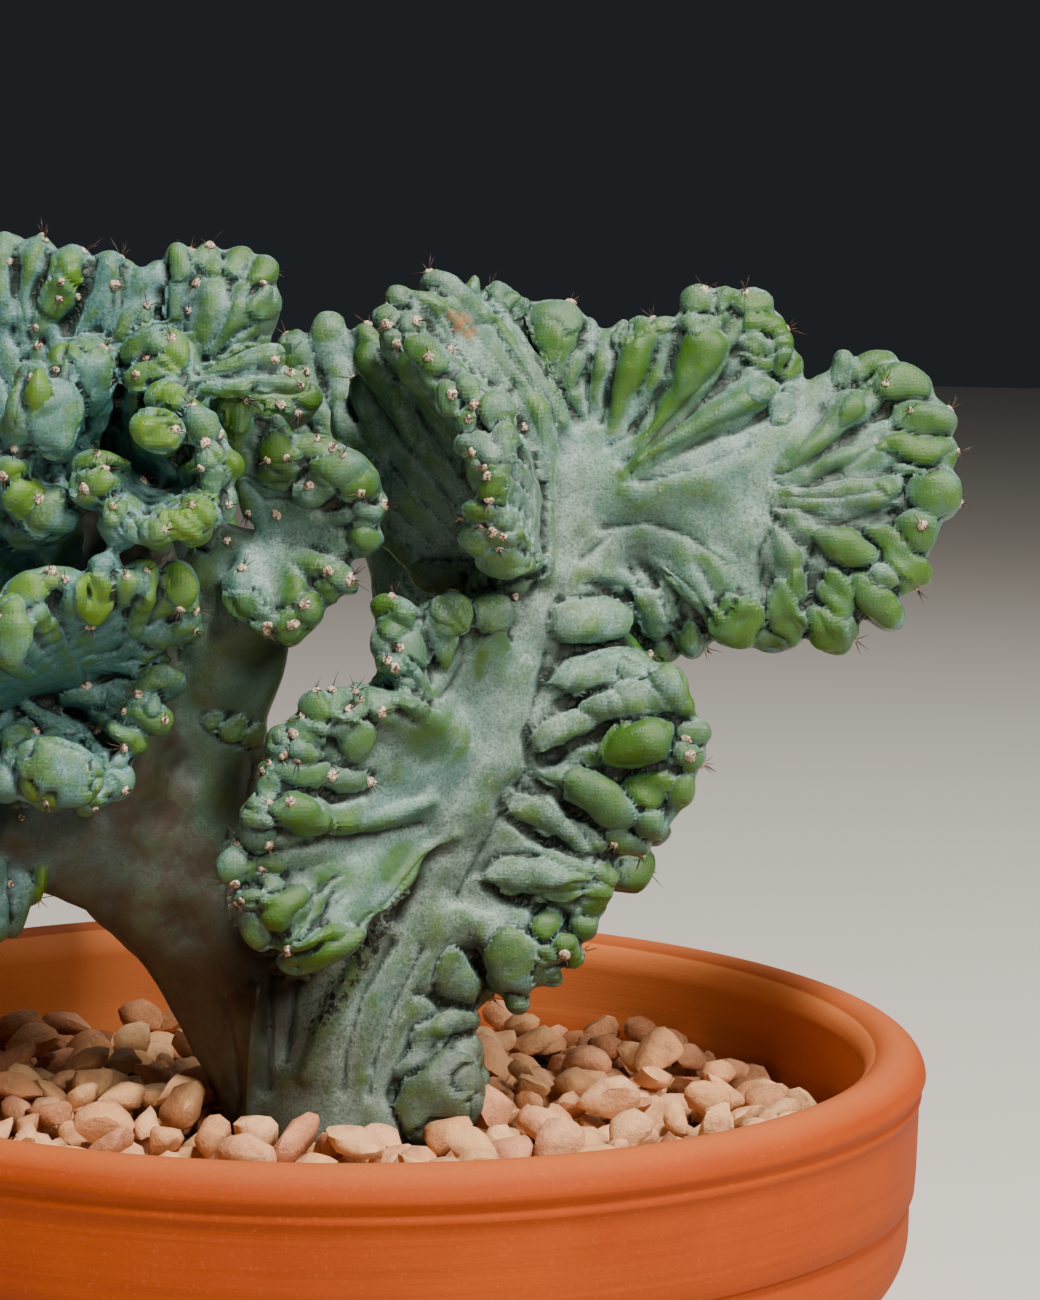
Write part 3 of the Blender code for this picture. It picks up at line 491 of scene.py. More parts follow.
def through(points, t):
    """Places t on the smooth curve through points (Catmull-Rom), t counting from point to point."""
    padded = np.vstack([2 * points[0] - points[1], points, 2 * points[-1] - points[-2]])
    i = np.clip(np.floor(t).astype(int), 0, len(points) - 2)
    u = (t - i)[:, None]
    a, b, c, d = padded[i], padded[i + 1], padded[i + 2], padded[i + 3]
    return 0.5 * (2 * b + (c - a) * u + (2 * a - 5 * b + 4 * c - d) * u ** 2
                  + (3 * b - a - 3 * c + d) * u ** 3)


def unit(v):
    """Each row of an array of vectors at length 1."""
    return v / np.linalg.norm(v, axis=-1, keepdims=True)


def ease(x, low, high):
    """Goes smoothly from 0 at low to 1 at high."""
    t = np.clip((x - low) / (high - low), 0, 1)
    return t * t * (3 - 2 * t)


def closed_skin(rings):
    """Points and faces of a closed body over a grid of rings, with both ends capped."""
    count, sides = rings.shape[:2]
    faces = grid_faces(count, sides)
    faces.append(list(range(sides))[::-1])
    faces.append(list(range((count - 1) * sides, count * sides)))
    return rings.reshape(-1, 3), faces


def limb(stations):
    """An oval carried along the smooth line through its stations, with low flutes that turn
    slowly round it: radius times 1 + the flutes' height times the cosine of flutes times angle."""
    line = np.array([seen(*s[:3]) for s in stations])
    halves = np.array([(s[3] * MM, s[4] * MM, 0) for s in stations])
    steps = np.linspace(0, len(stations) - 1, LIMB_STEPS * len(stations))
    centres = through(line, steps)
    sizes = through(halves, steps)
    ahead = unit(np.gradient(centres, axis=0))
    across = unit(np.cross(ahead, [0, 1, 0]))
    depthwise = unit(np.cross(across, ahead))
    angles = np.linspace(0, 2 * math.pi, LIMB_SIDES, endpoint=False)
    swell = 1 + FLUTE_HEIGHT * np.cos(FLUTES * angles + FLUTE_TWIST * steps[:, None])
    wide = sizes[:, :1] * swell * np.cos(angles)
    deep = sizes[:, 1:2] * swell * np.sin(angles)
    return closed_skin(centres[:, None] + across[:, None] * wide[..., None]
                       + depthwise[:, None] * deep[..., None])


def crest(pitch, thick, root_share, root_furrow, furrow_start, knobbiness, stations, draw):
    """One crest as a closed sheet of ribs, and the growth values of its points.

    Across a rib the section is a flattened circle, sqrt(1 - 0.96 p^2) with p from -1 to 1, and
    the furrows deepen towards the edge. Along a rib the sheet thickens from its root, narrows at
    a neck, swells into a knob and closes in a round end.
    """
    edge = np.array([seen(*station[0]) for station in stations])
    root = np.array([seen(*station[1]) for station in stations])
    fine = np.linspace(0, len(edge) - 1, EDGE_SAMPLES * len(edge))
    walked = np.cumsum(np.linalg.norm(np.diff(through(edge, fine), axis=0, prepend=edge[:1]), axis=1))
    ribs = max(2, round(walked[-1] / (pitch * MM)))
    widths = draw.uniform(*RIB_WIDTHS, ribs)
    starts = np.concatenate([[0], np.cumsum(widths)]) / widths.sum()
    p = np.linspace(-1, 1, RIB_SAMPLES, endpoint=False)
    rib = np.repeat(np.arange(ribs), RIB_SAMPLES)
    p = np.tile(p, ribs)
    place = starts[rib] + (p + 1) / 2 * (starts[rib + 1] - starts[rib])
    steps = np.interp(place * walked[-1], walked, fine)
    edges = through(edge, steps)
    roots = through(root, steps)
    out = unit(edges - roots)
    station_face = unit(np.cross(np.gradient(edge, axis=0), unit(edge - root)))
    face = through(station_face, steps)
    face = unit(face - out * np.sum(face * out, axis=1, keepdims=True))
    round_over = np.sqrt(1 - 0.96 * p ** 2)
    end_radius = RIB_END * pitch * MM * (widths[rib] / widths.mean()) ** 0.5
    reach = (np.linalg.norm(edges - roots, axis=1)
             + draw.uniform(-RIB_REACH_MM, RIB_REACH_MM, ribs)[rib] * MM - end_radius * (1 - round_over))
    stagger = (draw.choice([-1, 1], ribs) * draw.uniform(0.2, 1.0, ribs) * RIB_STAGGER_MM * MM)[rib]
    curl = (draw.uniform(-1, 1, ribs) * RIB_CURL_MM * MM)[rib]
    fullness = draw.uniform(*RIB_FULLNESS, ribs)[rib]
    knob = draw.uniform(*KNOB_SWELLS, ribs)[rib] * knobbiness
    way = np.sin(np.linspace(0, math.pi / 2, WAY_SAMPLES))[:, None]
    to_tip = (1 - way) * reach
    close = np.sqrt(np.clip(1 - (1 - np.clip(to_tip / end_radius, 0, 1)) ** 2, 0, 1))
    swell = (root_share + (SHEET_THICKNESS - root_share) * ease(way, 0.0, 0.6)
             + knob * np.exp(-((to_tip / end_radius - KNOB_PLACE) / 0.6) ** 2)
             - 0.5 * knob * np.exp(-((to_tip / end_radius - NECK_PLACE) / 0.6) ** 2))
    furrow = root_furrow + (FURROW_AT_EDGE - root_furrow) * ease(way, furrow_start, 0.92)
    half = 0.5 * thick * MM * fullness * swell * close * (1 - furrow * (1 - round_over))
    lift = stagger * way ** 2 + curl * ease(way, 0.7, 1.0)
    middle = roots + out * (way * reach)[..., None] + face * lift[..., None]
    front = middle + face * half[..., None]
    back = middle - face * half[..., None]
    rings = np.concatenate([front, back[-2::-1]]).transpose(1, 0, 2)
    young = 1 - ease(to_tip, 2 * MM, YOUNG_LENGTH)
    fresh = 0.5 + 0.5 * draw.uniform(-0.3, 0.9, ribs)[rib] * young ** 2 * (1 - p ** 2)
    groove = np.abs(p) ** 8 * ease(furrow, 0.05, 0.4)
    firm = np.clip(1.15 * furrow, 0, 1) * np.ones_like(reach)
    growth = np.stack([groove, fresh, np.zeros_like(young), firm], axis=-1)
    growth = np.concatenate([growth, growth[-2::-1]]).transpose(1, 0, 2).reshape(-1, 4)
    rib_tips.append(middle[-1, RIB_SAMPLES // 2::RIB_SAMPLES])
    return closed_skin(rings), growth


# Knobs and folds that show one by one, each (pixel x, pixel y, width and height in pixels,
# turn clockwise in degrees, how green it is from -1, pale, to 1, fresh green).
LOBES = [
    # The hand's toes, from its top round to the drops that hang under it.
    (843, 368, 24, 38, 0, 0.2), (872, 366, 55, 28, -20, 0.6), (904, 384, 62, 42, 15, 0.7),
    (922, 419, 72, 36, 12, 0.6), (918, 446, 80, 32, 4, 1.0), (911, 471, 42, 16, 0, 0.4),
    (890, 484, 32, 20, 15, 0.3), (934, 494, 56, 54, 0, 0.5), (917, 528, 46, 52, 20, 0.6),
    (899, 554, 88, 34, 45, 1.0), (846, 547, 70, 36, 27, 0.7), (883, 577, 28, 30, 0, -0.1),
    (839, 595, 58, 36, 75, 0.9), (875, 601, 74, 36, 52, 1.0), (827, 631, 58, 40, 48, 0.8),
    (785, 614, 72, 36, 80, 0.6), (739, 622, 60, 54, 0, 1.0), (729, 606, 20, 24, 0, 0.9),
    (650, 614, 34, 56, -15, -0.3), (689, 641, 40, 26, 65, -0.1), (668, 603, 24, 46, -20, -0.3),
    (802, 590, 40, 24, 70, 0.5), (851, 408, 22, 40, 25, 0.5), (770, 640, 40, 24, 10, 0.5),
    # The cluster at the right end of the top edge, and the top edge's own tips.
    (698, 302, 38, 34, 0, 0.2), (727, 298, 30, 24, 0, 0.3), (754, 303, 42, 34, 15, 0.5),
    (764, 323, 48, 28, 0, 1.0), (757, 346, 40, 30, 30, 0.2), (760, 360, 44, 16, 15, 0.3),
    (787, 365, 34, 28, 0, 0.5), (764, 389, 36, 24, 15, 0.2), (781, 408, 30, 34, 10, 0.0),
    (700, 322, 46, 22, 0, 0.1), (556, 315, 56, 34, 5, 0.3),
    (548, 332, 30, 56, -10, 0.4), (591, 327, 14, 24, 0, 0.0), (640, 326, 26, 18, 0, 0.2),
    (664, 324, 22, 16, 0, 0.1), (622, 333, 20, 28, 10, 0.1), (499, 290, 26, 20, 30, 0.3),
    (511, 299, 22, 20, 30, 0.4), (521, 307, 16, 18, 0, 0.2), (494, 311, 20, 28, 30, 0.1),
    (475, 286, 16, 30, 0, -0.1),
    # The hood's corner and the roll of knobs down its front margin.
    (398, 297, 24, 24, 0, 0.1), (384, 316, 26, 22, 0, 0.2), (410, 322, 30, 22, 20, 0.2),
    (392, 338, 22, 22, 0, 0.3), (426, 355, 52, 34, 35, 0.7), (447, 400, 26, 40, -10, 0.2),
    (470, 388, 36, 26, 45, 0.1), (495, 409, 40, 40, 10, -0.1), (483, 446, 60, 34, 8, 0.1),
    (506, 440, 26, 50, 0, -0.1), (466, 423, 26, 26, 0, 0.1), (464, 461, 24, 26, 10, 0.1),
    (493, 487, 36, 26, 0, 0.9), (504, 496, 16, 20, 0, 0.8), (479, 511, 38, 22, 10, 0.4),
    (504, 520, 30, 26, 20, 0.1), (488, 541, 66, 40, 15, 0.0), (502, 560, 56, 36, 10, 0.1),
    (514, 578, 36, 36, 0, 0.2), (444, 578, 70, 34, 0, -0.2), (480, 578, 24, 26, 0, 0.1),
    (451, 614, 46, 46, 20, 0.0), (489, 613, 50, 42, 0, -0.1),
    # The ear's margin, from the top of its small upper lobe down to its lowest sweep.
    (385, 607, 30, 26, 0, 0.6), (398, 626, 46, 40, 20, 0.4), (394, 664, 34, 22, 0, 0.2),
    (415, 645, 40, 56, 20, 0.3), (440, 638, 34, 66, -8, 0.0), (391, 684, 46, 22, 15, 0.0),
    (377, 700, 42, 26, 20, 0.1), (315, 705, 34, 34, 10, 0.5), (337, 699, 26, 26, 10, 0.3),
    (361, 706, 20, 40, 20, 0.3), (357, 738, 40, 44, 0, 0.3), (308, 731, 44, 34, 15, 0.2),
    (277, 736, 20, 22, 0, 0.0), (268, 757, 28, 34, 0, 0.2), (303, 752, 40, 24, 10, 0.2),
    (301, 773, 62, 32, 8, 0.4), (345, 781, 46, 26, 12, 0.1), (268, 786, 28, 26, 0, 0.2),
    (301, 815, 64, 40, 28, 0.8), (258, 806, 24, 26, 0, 0.1), (256, 832, 40, 44, 15, 0.1),
    (273, 864, 28, 24, 0, 0.4), (272, 880, 32, 20, 0, 0.3), (233, 865, 32, 42, 15, 0.1),
    (249, 898, 34, 18, 0, 0.3), (282, 908, 62, 38, -42, 0.8), (308, 914, 64, 20, -48, 0.4),
    (254, 928, 28, 56, -28, 0.1), (322, 948, 92, 40, -22, 0.6),
    # The right side's thick folds, from under the hand down, and their end knobs.
    (590, 621, 88, 50, -3, -0.3), (598, 672, 110, 44, -12, -0.2), (626, 670, 44, 32, 10, 0.2),
    (666, 686, 42, 48, 0, 0.0), (640, 697, 66, 44, 5, -0.1), (566, 727, 90, 34, -22, -0.5),
    (608, 706, 60, 40, -10, -0.3), (639, 742, 78, 54, -8, 0.8), (694, 731, 36, 28, 0, 0.4),
    (690, 757, 32, 30, 0, 0.4), (649, 787, 64, 38, 0, 0.9), (680, 790, 28, 44, 15, 0.4),
    (600, 800, 90, 44, 38, 0.4), (652, 822, 36, 34, 0, 0.4), (625, 842, 50, 26, 20, 0.3),
    (536, 814, 70, 40, 30, -0.7), (578, 838, 66, 28, 32, -0.1), (569, 862, 68, 28, 12, -0.1),
    (606, 872, 28, 30, 0, 0.1), (537, 877, 112, 40, 4, -0.5), (560, 893, 80, 22, -4, 0.3),
    (597, 893, 32, 26, 0, 0.4), (583, 923, 34, 34, 0, 0.5), (547, 925, 32, 30, 0, 0.6),
    (594, 909, 30, 20, 0, 0.4), (566, 946, 26, 26, 0, 0.5), (545, 955, 26, 22, 0, 0.4),
    (575, 959, 24, 24, 0, 0.5), (541, 973, 38, 30, 10, 0.3), (553, 979, 24, 18, 0, 0.4),
    (514, 962, 60, 70, 10, 0.0), (518, 1004, 26, 24, 0, 0.1),
    # Low down: a flap, a finger and a round leaf at the foot of the stem.
    (456, 980, 46, 62, -10, -0.1), (462, 1020, 44, 30, -5, 0.0), (428, 1044, 100, 36, -50, -0.1),
    (440, 1098, 104, 84, -55, -0.1), (462, 1082, 54, 44, -20, 0.1), (474, 1108, 34, 40, 0, 0.0),
    (440, 1126, 70, 40, -10, 0.0),
    # The left head's upper fans: fingers, end knobs and the bright bump on its front rib.
    (74, 276, 24, 28, 10, 1.0), (60, 298, 38, 50, 15, 0.4), (179, 262, 28, 44, -15, 0.4),
    (209, 258, 30, 32, 0, 0.2),
    (240, 262, 32, 32, 0, 0.4), (263, 270, 30, 34, -20, 0.7), (266, 302, 36, 36, 0, 0.3),
    (290, 344, 26, 18, -10, 0.2), (309, 396, 24, 26, 0, 0.8),
    # Its front folds: the arched rib, the snail fold, the round knob and the cup's margin.
    (92, 375, 44, 80, 0, 0.1), (84, 350, 36, 26, 0, 0.4), (152, 345, 60, 36, -10, 0.3),
    (170, 354, 46, 50, 30, 0.7), (150, 377, 60, 34, -15, 0.5), (146, 398, 56, 44, -30, 0.3),
    (165, 400, 44, 40, -20, 0.9), (158, 430, 56, 48, 15, 0.8), (166, 431, 40, 26, -30, 0.9),
    (40, 391, 34, 44, 10, 0.7), (56, 418, 54, 84, 8, 0.1), (14, 470, 36, 32, 0, 0.6),
    (26, 497, 52, 44, 0, 0.9), (50, 512, 56, 60, 0, 0.0), (90, 468, 36, 34, 0, 0.3),
    (109, 446, 32, 44, 10, 0.3), (101, 481, 34, 28, 0, 0.5), (200, 428, 44, 44, 30, 0.2),
    (209, 456, 30, 34, 0, 0.3), (214, 482, 30, 36, 0, 0.3), (207, 497, 34, 26, 20, 0.9),
    (199, 512, 50, 34, 30, 0.9), (181, 525, 50, 30, 35, 1.0), (114, 514, 26, 36, -20, 0.2),
    (136, 530, 40, 30, 0, -0.1), (155, 532, 36, 28, 0, 0.1),
    # The star's knobs, upper right round to its lower edge.
    (232, 408, 44, 50, -15, 0.6), (262, 404, 32, 34, 0, 0.4), (280, 412, 36, 30, 0, 0.0),
    (279, 452, 46, 40, 10, 0.7), (277, 474, 44, 30, 10, 0.5), (312, 446, 56, 24, 0, 0.2),
    (340, 470, 68, 44, 10, 0.2), (357, 486, 48, 40, -30, 0.7), (312, 490, 40, 40, 0, 0.0),
    (368, 512, 34, 26, 20, 0.1), (366, 538, 40, 30, 0, 0.6), (340, 578, 46, 28, 40, 0.1),
    (326, 592, 30, 30, 0, 0.3), (290, 626, 36, 40, 0, 0.9), (308, 612, 32, 34, 0, 0.5),
    (241, 607, 44, 30, 30, 0.5), (262, 622, 30, 26, 0, 0.2),
    # The shelf under it, the fingers at its right end and the skirt's plates.
    (28, 588, 60, 34, -20, 0.7), (12, 606, 36, 30, 0, 0.5), (52, 580, 30, 28, 0, 0.3),
    (95, 598, 40, 60, 0, 0.9), (124, 588, 28, 40, 0, 0.5), (140, 582, 26, 36, 0, 0.2),
    (180, 586, 36, 54, -10, 0.9), (14, 633, 38, 70, 0, 0.2), (165, 634, 76, 24, -4, -0.1),
    (128, 662, 92, 26, -4, -0.1), (110, 694, 110, 26, -6, -0.3), (152, 706, 24, 26, 0, 0.1),
    (60, 727, 104, 28, 32, -0.2), (60, 772, 92, 66, 20, -0.1), (30, 788, 26, 32, 0, 0.6),
    (53, 796, 24, 28, 0, 0.6), (98, 768, 26, 26, 0, 0.2), (100, 786, 24, 22, 0, 0.2),
    (98, 800, 20, 20, 0, 0.2), (121, 757, 24, 26, 0, 0.1), (18, 744, 40, 44, 0, 0.0),
    # The crotch between the two heads.
    (214, 722, 26, 24, 0, -0.2), (234, 730, 26, 28, 0, -0.2), (256, 736, 26, 24, 0, -0.2),
]

# Ribs and folds that rise out of flat skin to a full end, each (how green, the line along it as
# (pixel x, pixel y, half width in pixels)).
FOLDS = [
    # The right side's thick folds, from under the hand down.
    (-0.3, [(552, 640, 8), (588, 620, 21), (628, 620, 22)]),
    (-0.4, [(549, 690, 8), (585, 671, 16), (634, 657, 15)]),
    (-0.3, [(529, 755, 6), (570, 725, 13), (607, 707, 18), (644, 700, 22)]),
    (0.4, [(592, 762, 8), (625, 742, 24), (668, 740, 27)]),
    (0.2, [(533, 770, 6), (570, 781, 16), (602, 799, 22), (632, 826, 24)]),
    (-0.7, [(508, 810, 8), (540, 806, 18), (572, 836, 16), (600, 860, 12)]),
    (-0.1, [(537, 850, 6), (570, 864, 12), (604, 874, 12)]),
    (-0.6, [(476, 880, 8), (514, 870, 18), (565, 880, 16), (604, 892, 12)]),
    (-0.3, [(452, 905, 8), (492, 930, 26), (520, 970, 30)]),
    # The ribs of the ear and its long lower leaves.
    (0.1, [(275, 775, 12), (325, 777, 14), (372, 786, 8)]),
    (0.3, [(276, 808, 14), (312, 812, 18), (350, 824, 9), (400, 825, 4)]),
    (0.3, [(262, 925, 12), (292, 905, 17), (325, 880, 8)]),
    (0.1, [(275, 940, 10), (312, 922, 16), (338, 885, 8)]),
    (0.3, [(295, 958, 16), (345, 935, 17), (382, 908, 7)]),
    # The ribs of the hand, from its top round to the drops under its arm.
    (0.5, [(622, 476, 8), (664, 420, 20), (696, 364, 30), (712, 324, 32)]),
    (0.3, [(632, 474, 8), (686, 436, 17), (738, 404, 22), (766, 392, 18)]),
    (0.3, [(778, 468, 8), (818, 442, 17), (848, 412, 21), (860, 390, 18)]),
    (0.3, [(784, 480, 8), (836, 464, 18), (886, 446, 20)]),
    (0.0, [(780, 496, 12), (836, 494, 18), (896, 494, 20)]),
    (0.2, [(778, 512, 8), (812, 532, 14), (846, 547, 16)]),
    (0.2, [(770, 520, 8), (790, 560, 16), (786, 612, 18)]),
    (0.2, [(700, 545, 8), (728, 575, 18), (738, 620, 18)]),
    (0.0, [(655, 562, 8), (690, 585, 15), (712, 612, 13)]),
    (-0.2, [(594, 572, 7), (628, 586, 13), (650, 618, 15)]),
    (-0.2, [(634, 566, 6), (662, 596, 11), (674, 628, 11)]),
    # The fingers of the top edge and the ribs of the hood.
    (0.3, [(584, 418, 5), (562, 360, 20), (556, 320, 26)]),
    (0.0, [(598, 414, 5), (602, 360, 13), (596, 332, 12)]),
    (0.4, [(610, 428, 6), (628, 372, 19), (640, 332, 22)]),
    (0.2, [(640, 430, 6), (662, 370, 14), (668, 332, 14)]),
    (0.1, [(570, 440, 8), (533, 376, 16), (503, 322, 13)]),
    (0.2, [(552, 452, 8), (524, 386, 15), (494, 336, 15), (450, 288, 12)]),
    (0.0, [(508, 386, 8), (472, 338, 13), (432, 300, 12)]),
    # The ribs that hang inside the hood's hollow.
    (-0.2, [(336, 385, 10), (345, 420, 11), (347, 450, 9)]),
    (-0.2, [(358, 395, 8), (372, 430, 10), (384, 460, 8)]),
    (-0.2, [(392, 384, 10), (405, 420, 12), (418, 448, 9)]),
    # The fingers of the left head's upper fan, and the two that point to the right.
    (0.0, [(3, 330, 8), (3, 262, 12), (4, 230, 10)]),
    (0.1, [(22, 335, 6), (24, 298, 11), (32, 262, 16), (41, 232, 10)]),
    (0.3, [(36, 335, 8), (54, 292, 21), (68, 265, 23), (77, 246, 15)]),
    (0.0, [(72, 344, 8), (93, 300, 15), (107, 266, 19), (111, 252, 15)]),
    (0.0, [(115, 342, 10), (136, 300, 20), (148, 270, 22)]),
    (0.1, [(178, 256, 14), (174, 292, 15), (172, 328, 9)]),
    (0.1, [(196, 364, 8), (212, 306, 20), (211, 256, 18)]),
    (0.1, [(208, 360, 8), (246, 300, 20), (256, 268, 20)]),
    (0.0, [(206, 366, 6), (241, 343, 10), (270, 338, 11)]),
    (0.0, [(197, 380, 5), (247, 363, 13), (288, 348, 13)]),
    (0.1, [(197, 392, 6), (247, 380, 15), (306, 384, 13)]),
    # Its front folds: the arched rib, the snail fold and the cup's margin.
    (0.0, [(92, 436, 10), (100, 400, 14), (100, 364, 14), (82, 350, 12), (66, 356, 8)]),
    (0.2, [(119, 372, 12), (134, 348, 13), (158, 338, 13), (184, 350, 13), (190, 388, 10)]),
    (0.2, [(130, 382, 8), (162, 364, 9), (182, 382, 8)]),
    (0.3, [(150, 410, 14), (166, 402, 14), (178, 392, 10)]),
    (0.1, [(190, 412, 14), (210, 436, 15), (219, 478, 15), (203, 500, 13)]),
    (0.0, [(104, 505, 12), (137, 530, 13), (166, 536, 13)]),
    (0.2, [(20, 440, 12), (24, 400, 17), (50, 368, 15)]),
    (0.0, [(8, 540, 14), (50, 522, 22), (62, 480, 20)]),
]

# Marks on flat skin, each (pixel x, pixel y, width and height in pixels, turn clockwise in
# degrees, how green or, below 0, how pale it is).
PATCHES = [
    (475, 728, 44, 54, 10, -1.0), (396, 863, 34, 60, 40, 0.5),
    (500, 560, 26, 18, 0, 0.8), (385, 615, 20, 26, 0, 0.9),
    (700, 350, 34, 60, 25, 0.7), (562, 345, 18, 30, 0, 0.7), (640, 372, 30, 56, 15, 0.5),
    (690, 520, 150, 40, -10, 0.1),
    (760, 500, 70, 50, 0, -0.5), (590, 480, 70, 60, 0, -0.4), (545, 520, 16, 70, 0, 0.3),
    (478, 668, 14, 30, 20, 0.5),
    (430, 740, 60, 50, 0, 0.3), (330, 870, 60, 30, 20, 0.3), (560, 520, 20, 90, 10, -0.5),
    (625, 745, 40, 20, 0, 0.3),
]
SPECKLED = [(384, 921), (352, 972), (315, 1027)]
SPECKLED_HALF = 15
SCAR = (464, 325, 40, 24, 40)

# Creases and hollows, each (depth mm, half width in pixels, the line along it in pixels).
CREASES = [
    # Between the ribs of the hand, and the overhang under the arm that carries it.
    (4, 6, [(749, 444), (690, 469), (640, 481)]), (3, 6, [(757, 415), (717, 428), (663, 455), (640, 469)]),
    (2, 5, [(835, 398), (812, 428), (786, 459)]), (2, 5, [(885, 413), (839, 440), (808, 467)]),
    (2, 5, [(881, 440), (847, 467), (797, 490)]), (2, 5, [(881, 490), (839, 499), (786, 497)]),
    (2, 5, [(893, 509), (839, 524), (806, 520)]), (3, 6, [(774, 520), (759, 551), (763, 585)]),
    (3, 5, [(812, 547), (805, 585), (801, 612)]),
    (7, 9, [(606, 528), (648, 524), (686, 535), (717, 555), (732, 566), (740, 589)]),
    (3, 6, [(583, 558), (610, 536)]), (4, 6, [(640, 566), (663, 593), (678, 627)]),
    (3, 6, [(663, 566), (694, 593), (713, 627)]), (5, 6, [(587, 585), (625, 589), (636, 616), (648, 646)]),
    # Between the ribs of the top edge and of the hood.
    (4, 6, [(747, 340), (717, 375), (686, 405), (648, 440), (625, 459)]),
    (4, 6, [(676, 333), (663, 382), (644, 413), (625, 436), (610, 444)]),
    (4, 5, [(625, 329), (613, 363), (606, 398), (600, 421)]),
    (4, 5, [(587, 336), (571, 356), (564, 375), (560, 386)]), (2, 4, [(594, 344), (583, 375), (575, 390)]),
    (5, 7, [(527, 310), (533, 344), (548, 371), (564, 402), (579, 417)]),
    (3, 5, [(495, 321), (506, 348), (522, 375)]), (4, 5, [(445, 314), (457, 337), (476, 363), (495, 386)]),
    (4, 5, [(411, 294), (434, 317), (457, 348), (476, 371)]),
    (6, 9, [(518, 428), (522, 474), (533, 528), (533, 570)]),
    (1.5, 4, [(581, 539), (564, 585), (558, 600)]),
    # The ear: its hollow against the stem, and the lines of its folds.
    (5, 12, [(440, 851), (407, 888), (392, 914)]), (2.5, 5, [(311, 840), (378, 836), (422, 825)]),
    (4, 5, [(311, 792), (341, 799), (366, 792), (372, 777)]),
    (2.5, 4, [(322, 884), (311, 914), (292, 936)]), (2.5, 4, [(335, 892), (322, 925), (300, 944)]),
    (2.5, 4, [(374, 914), (340, 940), (296, 955)]),
    (2.5, 4, [(407, 603), (429, 644), (433, 681), (422, 707)]),
    (3, 5, [(437, 600), (463, 629), (464, 662), (451, 688), (429, 707)]),
    (2.5, 5, [(466, 603), (477, 633), (470, 655)]),
    # The right side: the long valley along the stem and the clefts between its folds.
    (5, 14, [(548, 655), (540, 692), (525, 736), (533, 770), (507, 810), (481, 855), (459, 895)]),
    (6, 6, [(551, 650), (599, 646), (644, 646)]), (5, 6, [(544, 707), (570, 699), (603, 688)]),
    (7, 8, [(533, 762), (570, 751), (614, 725)]), (4, 5, [(618, 770), (677, 770)]),
    (3, 5, [(599, 762), (607, 736), (636, 718)]), (5, 6, [(574, 810), (592, 851), (614, 862)]),
    (5, 6, [(533, 777), (562, 792), (581, 821)]), (6, 7, [(511, 825), (540, 833), (570, 851), (596, 862)]),
    (6, 7, [(477, 884), (518, 899), (570, 895), (592, 888)]),
    # The foot: the flap, the finger and the leaf, and the flutes of the two joined stems.
    (5, 5, [(474, 958), (481, 988), (474, 1010), (437, 999), (415, 995)]),
    (3, 5, [(392, 1025), (378, 1062), (370, 1095)]),
    (5, 5, [(474, 1032), (437, 1043), (407, 1077), (392, 1095)]),
    (3, 9, [(274, 977), (270, 1032), (267, 1088)]), (8, 12, [(296, 972), (290, 1014), (283, 1060)]),
    (3, 8, [(392, 944), (363, 995), (348, 1051), (344, 1088)]),
    (3, 7, [(422, 951), (392, 1014), (374, 1069)]), (4, 14, [(222, 1000), (232, 1060), (236, 1120)]),
    # The left head's upper fan, finger by finger.
    (5, 6, [(14, 226), (16, 292), (27, 336)]), (4, 6, [(52, 235), (41, 279), (33, 325)]),
    (6, 7, [(85, 270), (80, 306), (55, 375)]), (5, 6, [(55, 259), (41, 300), (25, 364), (11, 424)]),
    (4, 6, [(95, 254), (88, 300), (71, 347)]), (5, 6, [(123, 262), (121, 300), (101, 353)]),
    (5, 6, [(165, 265), (165, 300), (162, 331)]), (2.5, 4, [(260, 284), (244, 298)]),
    (4, 5, [(197, 372), (233, 377), (274, 372), (296, 372)]), (3, 5, [(197, 366), (236, 344), (285, 336)]),
    # Its arched rib, snail fold, round knob and cup.
    (5, 6, [(69, 358), (82, 380), (85, 429)]), (6, 6, [(114, 355), (117, 402), (118, 427)]),
    (6, 5, [(118, 388), (132, 413), (154, 407), (175, 388)]),
    (3, 4, [(143, 358), (165, 353), (186, 375), (189, 391)]), (3, 4, [(154, 413), (170, 413), (181, 418)]),
    (3, 4, [(148, 438), (165, 424), (181, 429)]), (8, 7, [(130, 443), (143, 459), (167, 459), (187, 443)]),
    (5, 6, [(22, 449), (49, 449), (68, 465)]), (4, 5, [(0, 484), (22, 473), (49, 484)]),
    (4, 5, [(8, 512), (33, 531), (55, 539)]), (5, 6, [(0, 547), (33, 550), (52, 547)]),
    (6, 12, [(170, 466), (172, 482), (154, 484)]), (2.5, 4, [(197, 490), (217, 501), (225, 509)]),
    (3, 4, [(187, 503), (203, 525), (214, 531)]), (4, 5, [(167, 514), (178, 536), (203, 550)]),
    (3, 4, [(107, 506), (121, 520), (121, 531)]), (3, 4, [(132, 517), (137, 539)]),
    # The star and the shelf.
    (6, 7, [(211, 449), (225, 473), (225, 506), (219, 525)]), (5, 5, [(233, 397), (228, 418), (222, 443)]),
    (4, 5, [(255, 399), (260, 421), (247, 446)]), (3, 4, [(244, 476), (260, 487), (285, 484)]),
    (4, 5, [(247, 484), (263, 500), (291, 500), (302, 484)]), (3, 5, [(324, 512), (351, 500), (378, 503)]),
    (4, 5, [(345, 539), (351, 561)]), (3, 4, [(230, 602), (238, 619), (269, 624)]),
    (6, 6, [(58, 575), (55, 599), (49, 632)]), (3, 4, [(115, 572), (112, 605)]),
    (3, 4, [(143, 567), (140, 605)]), (3, 4, [(165, 567), (170, 583)]),
]

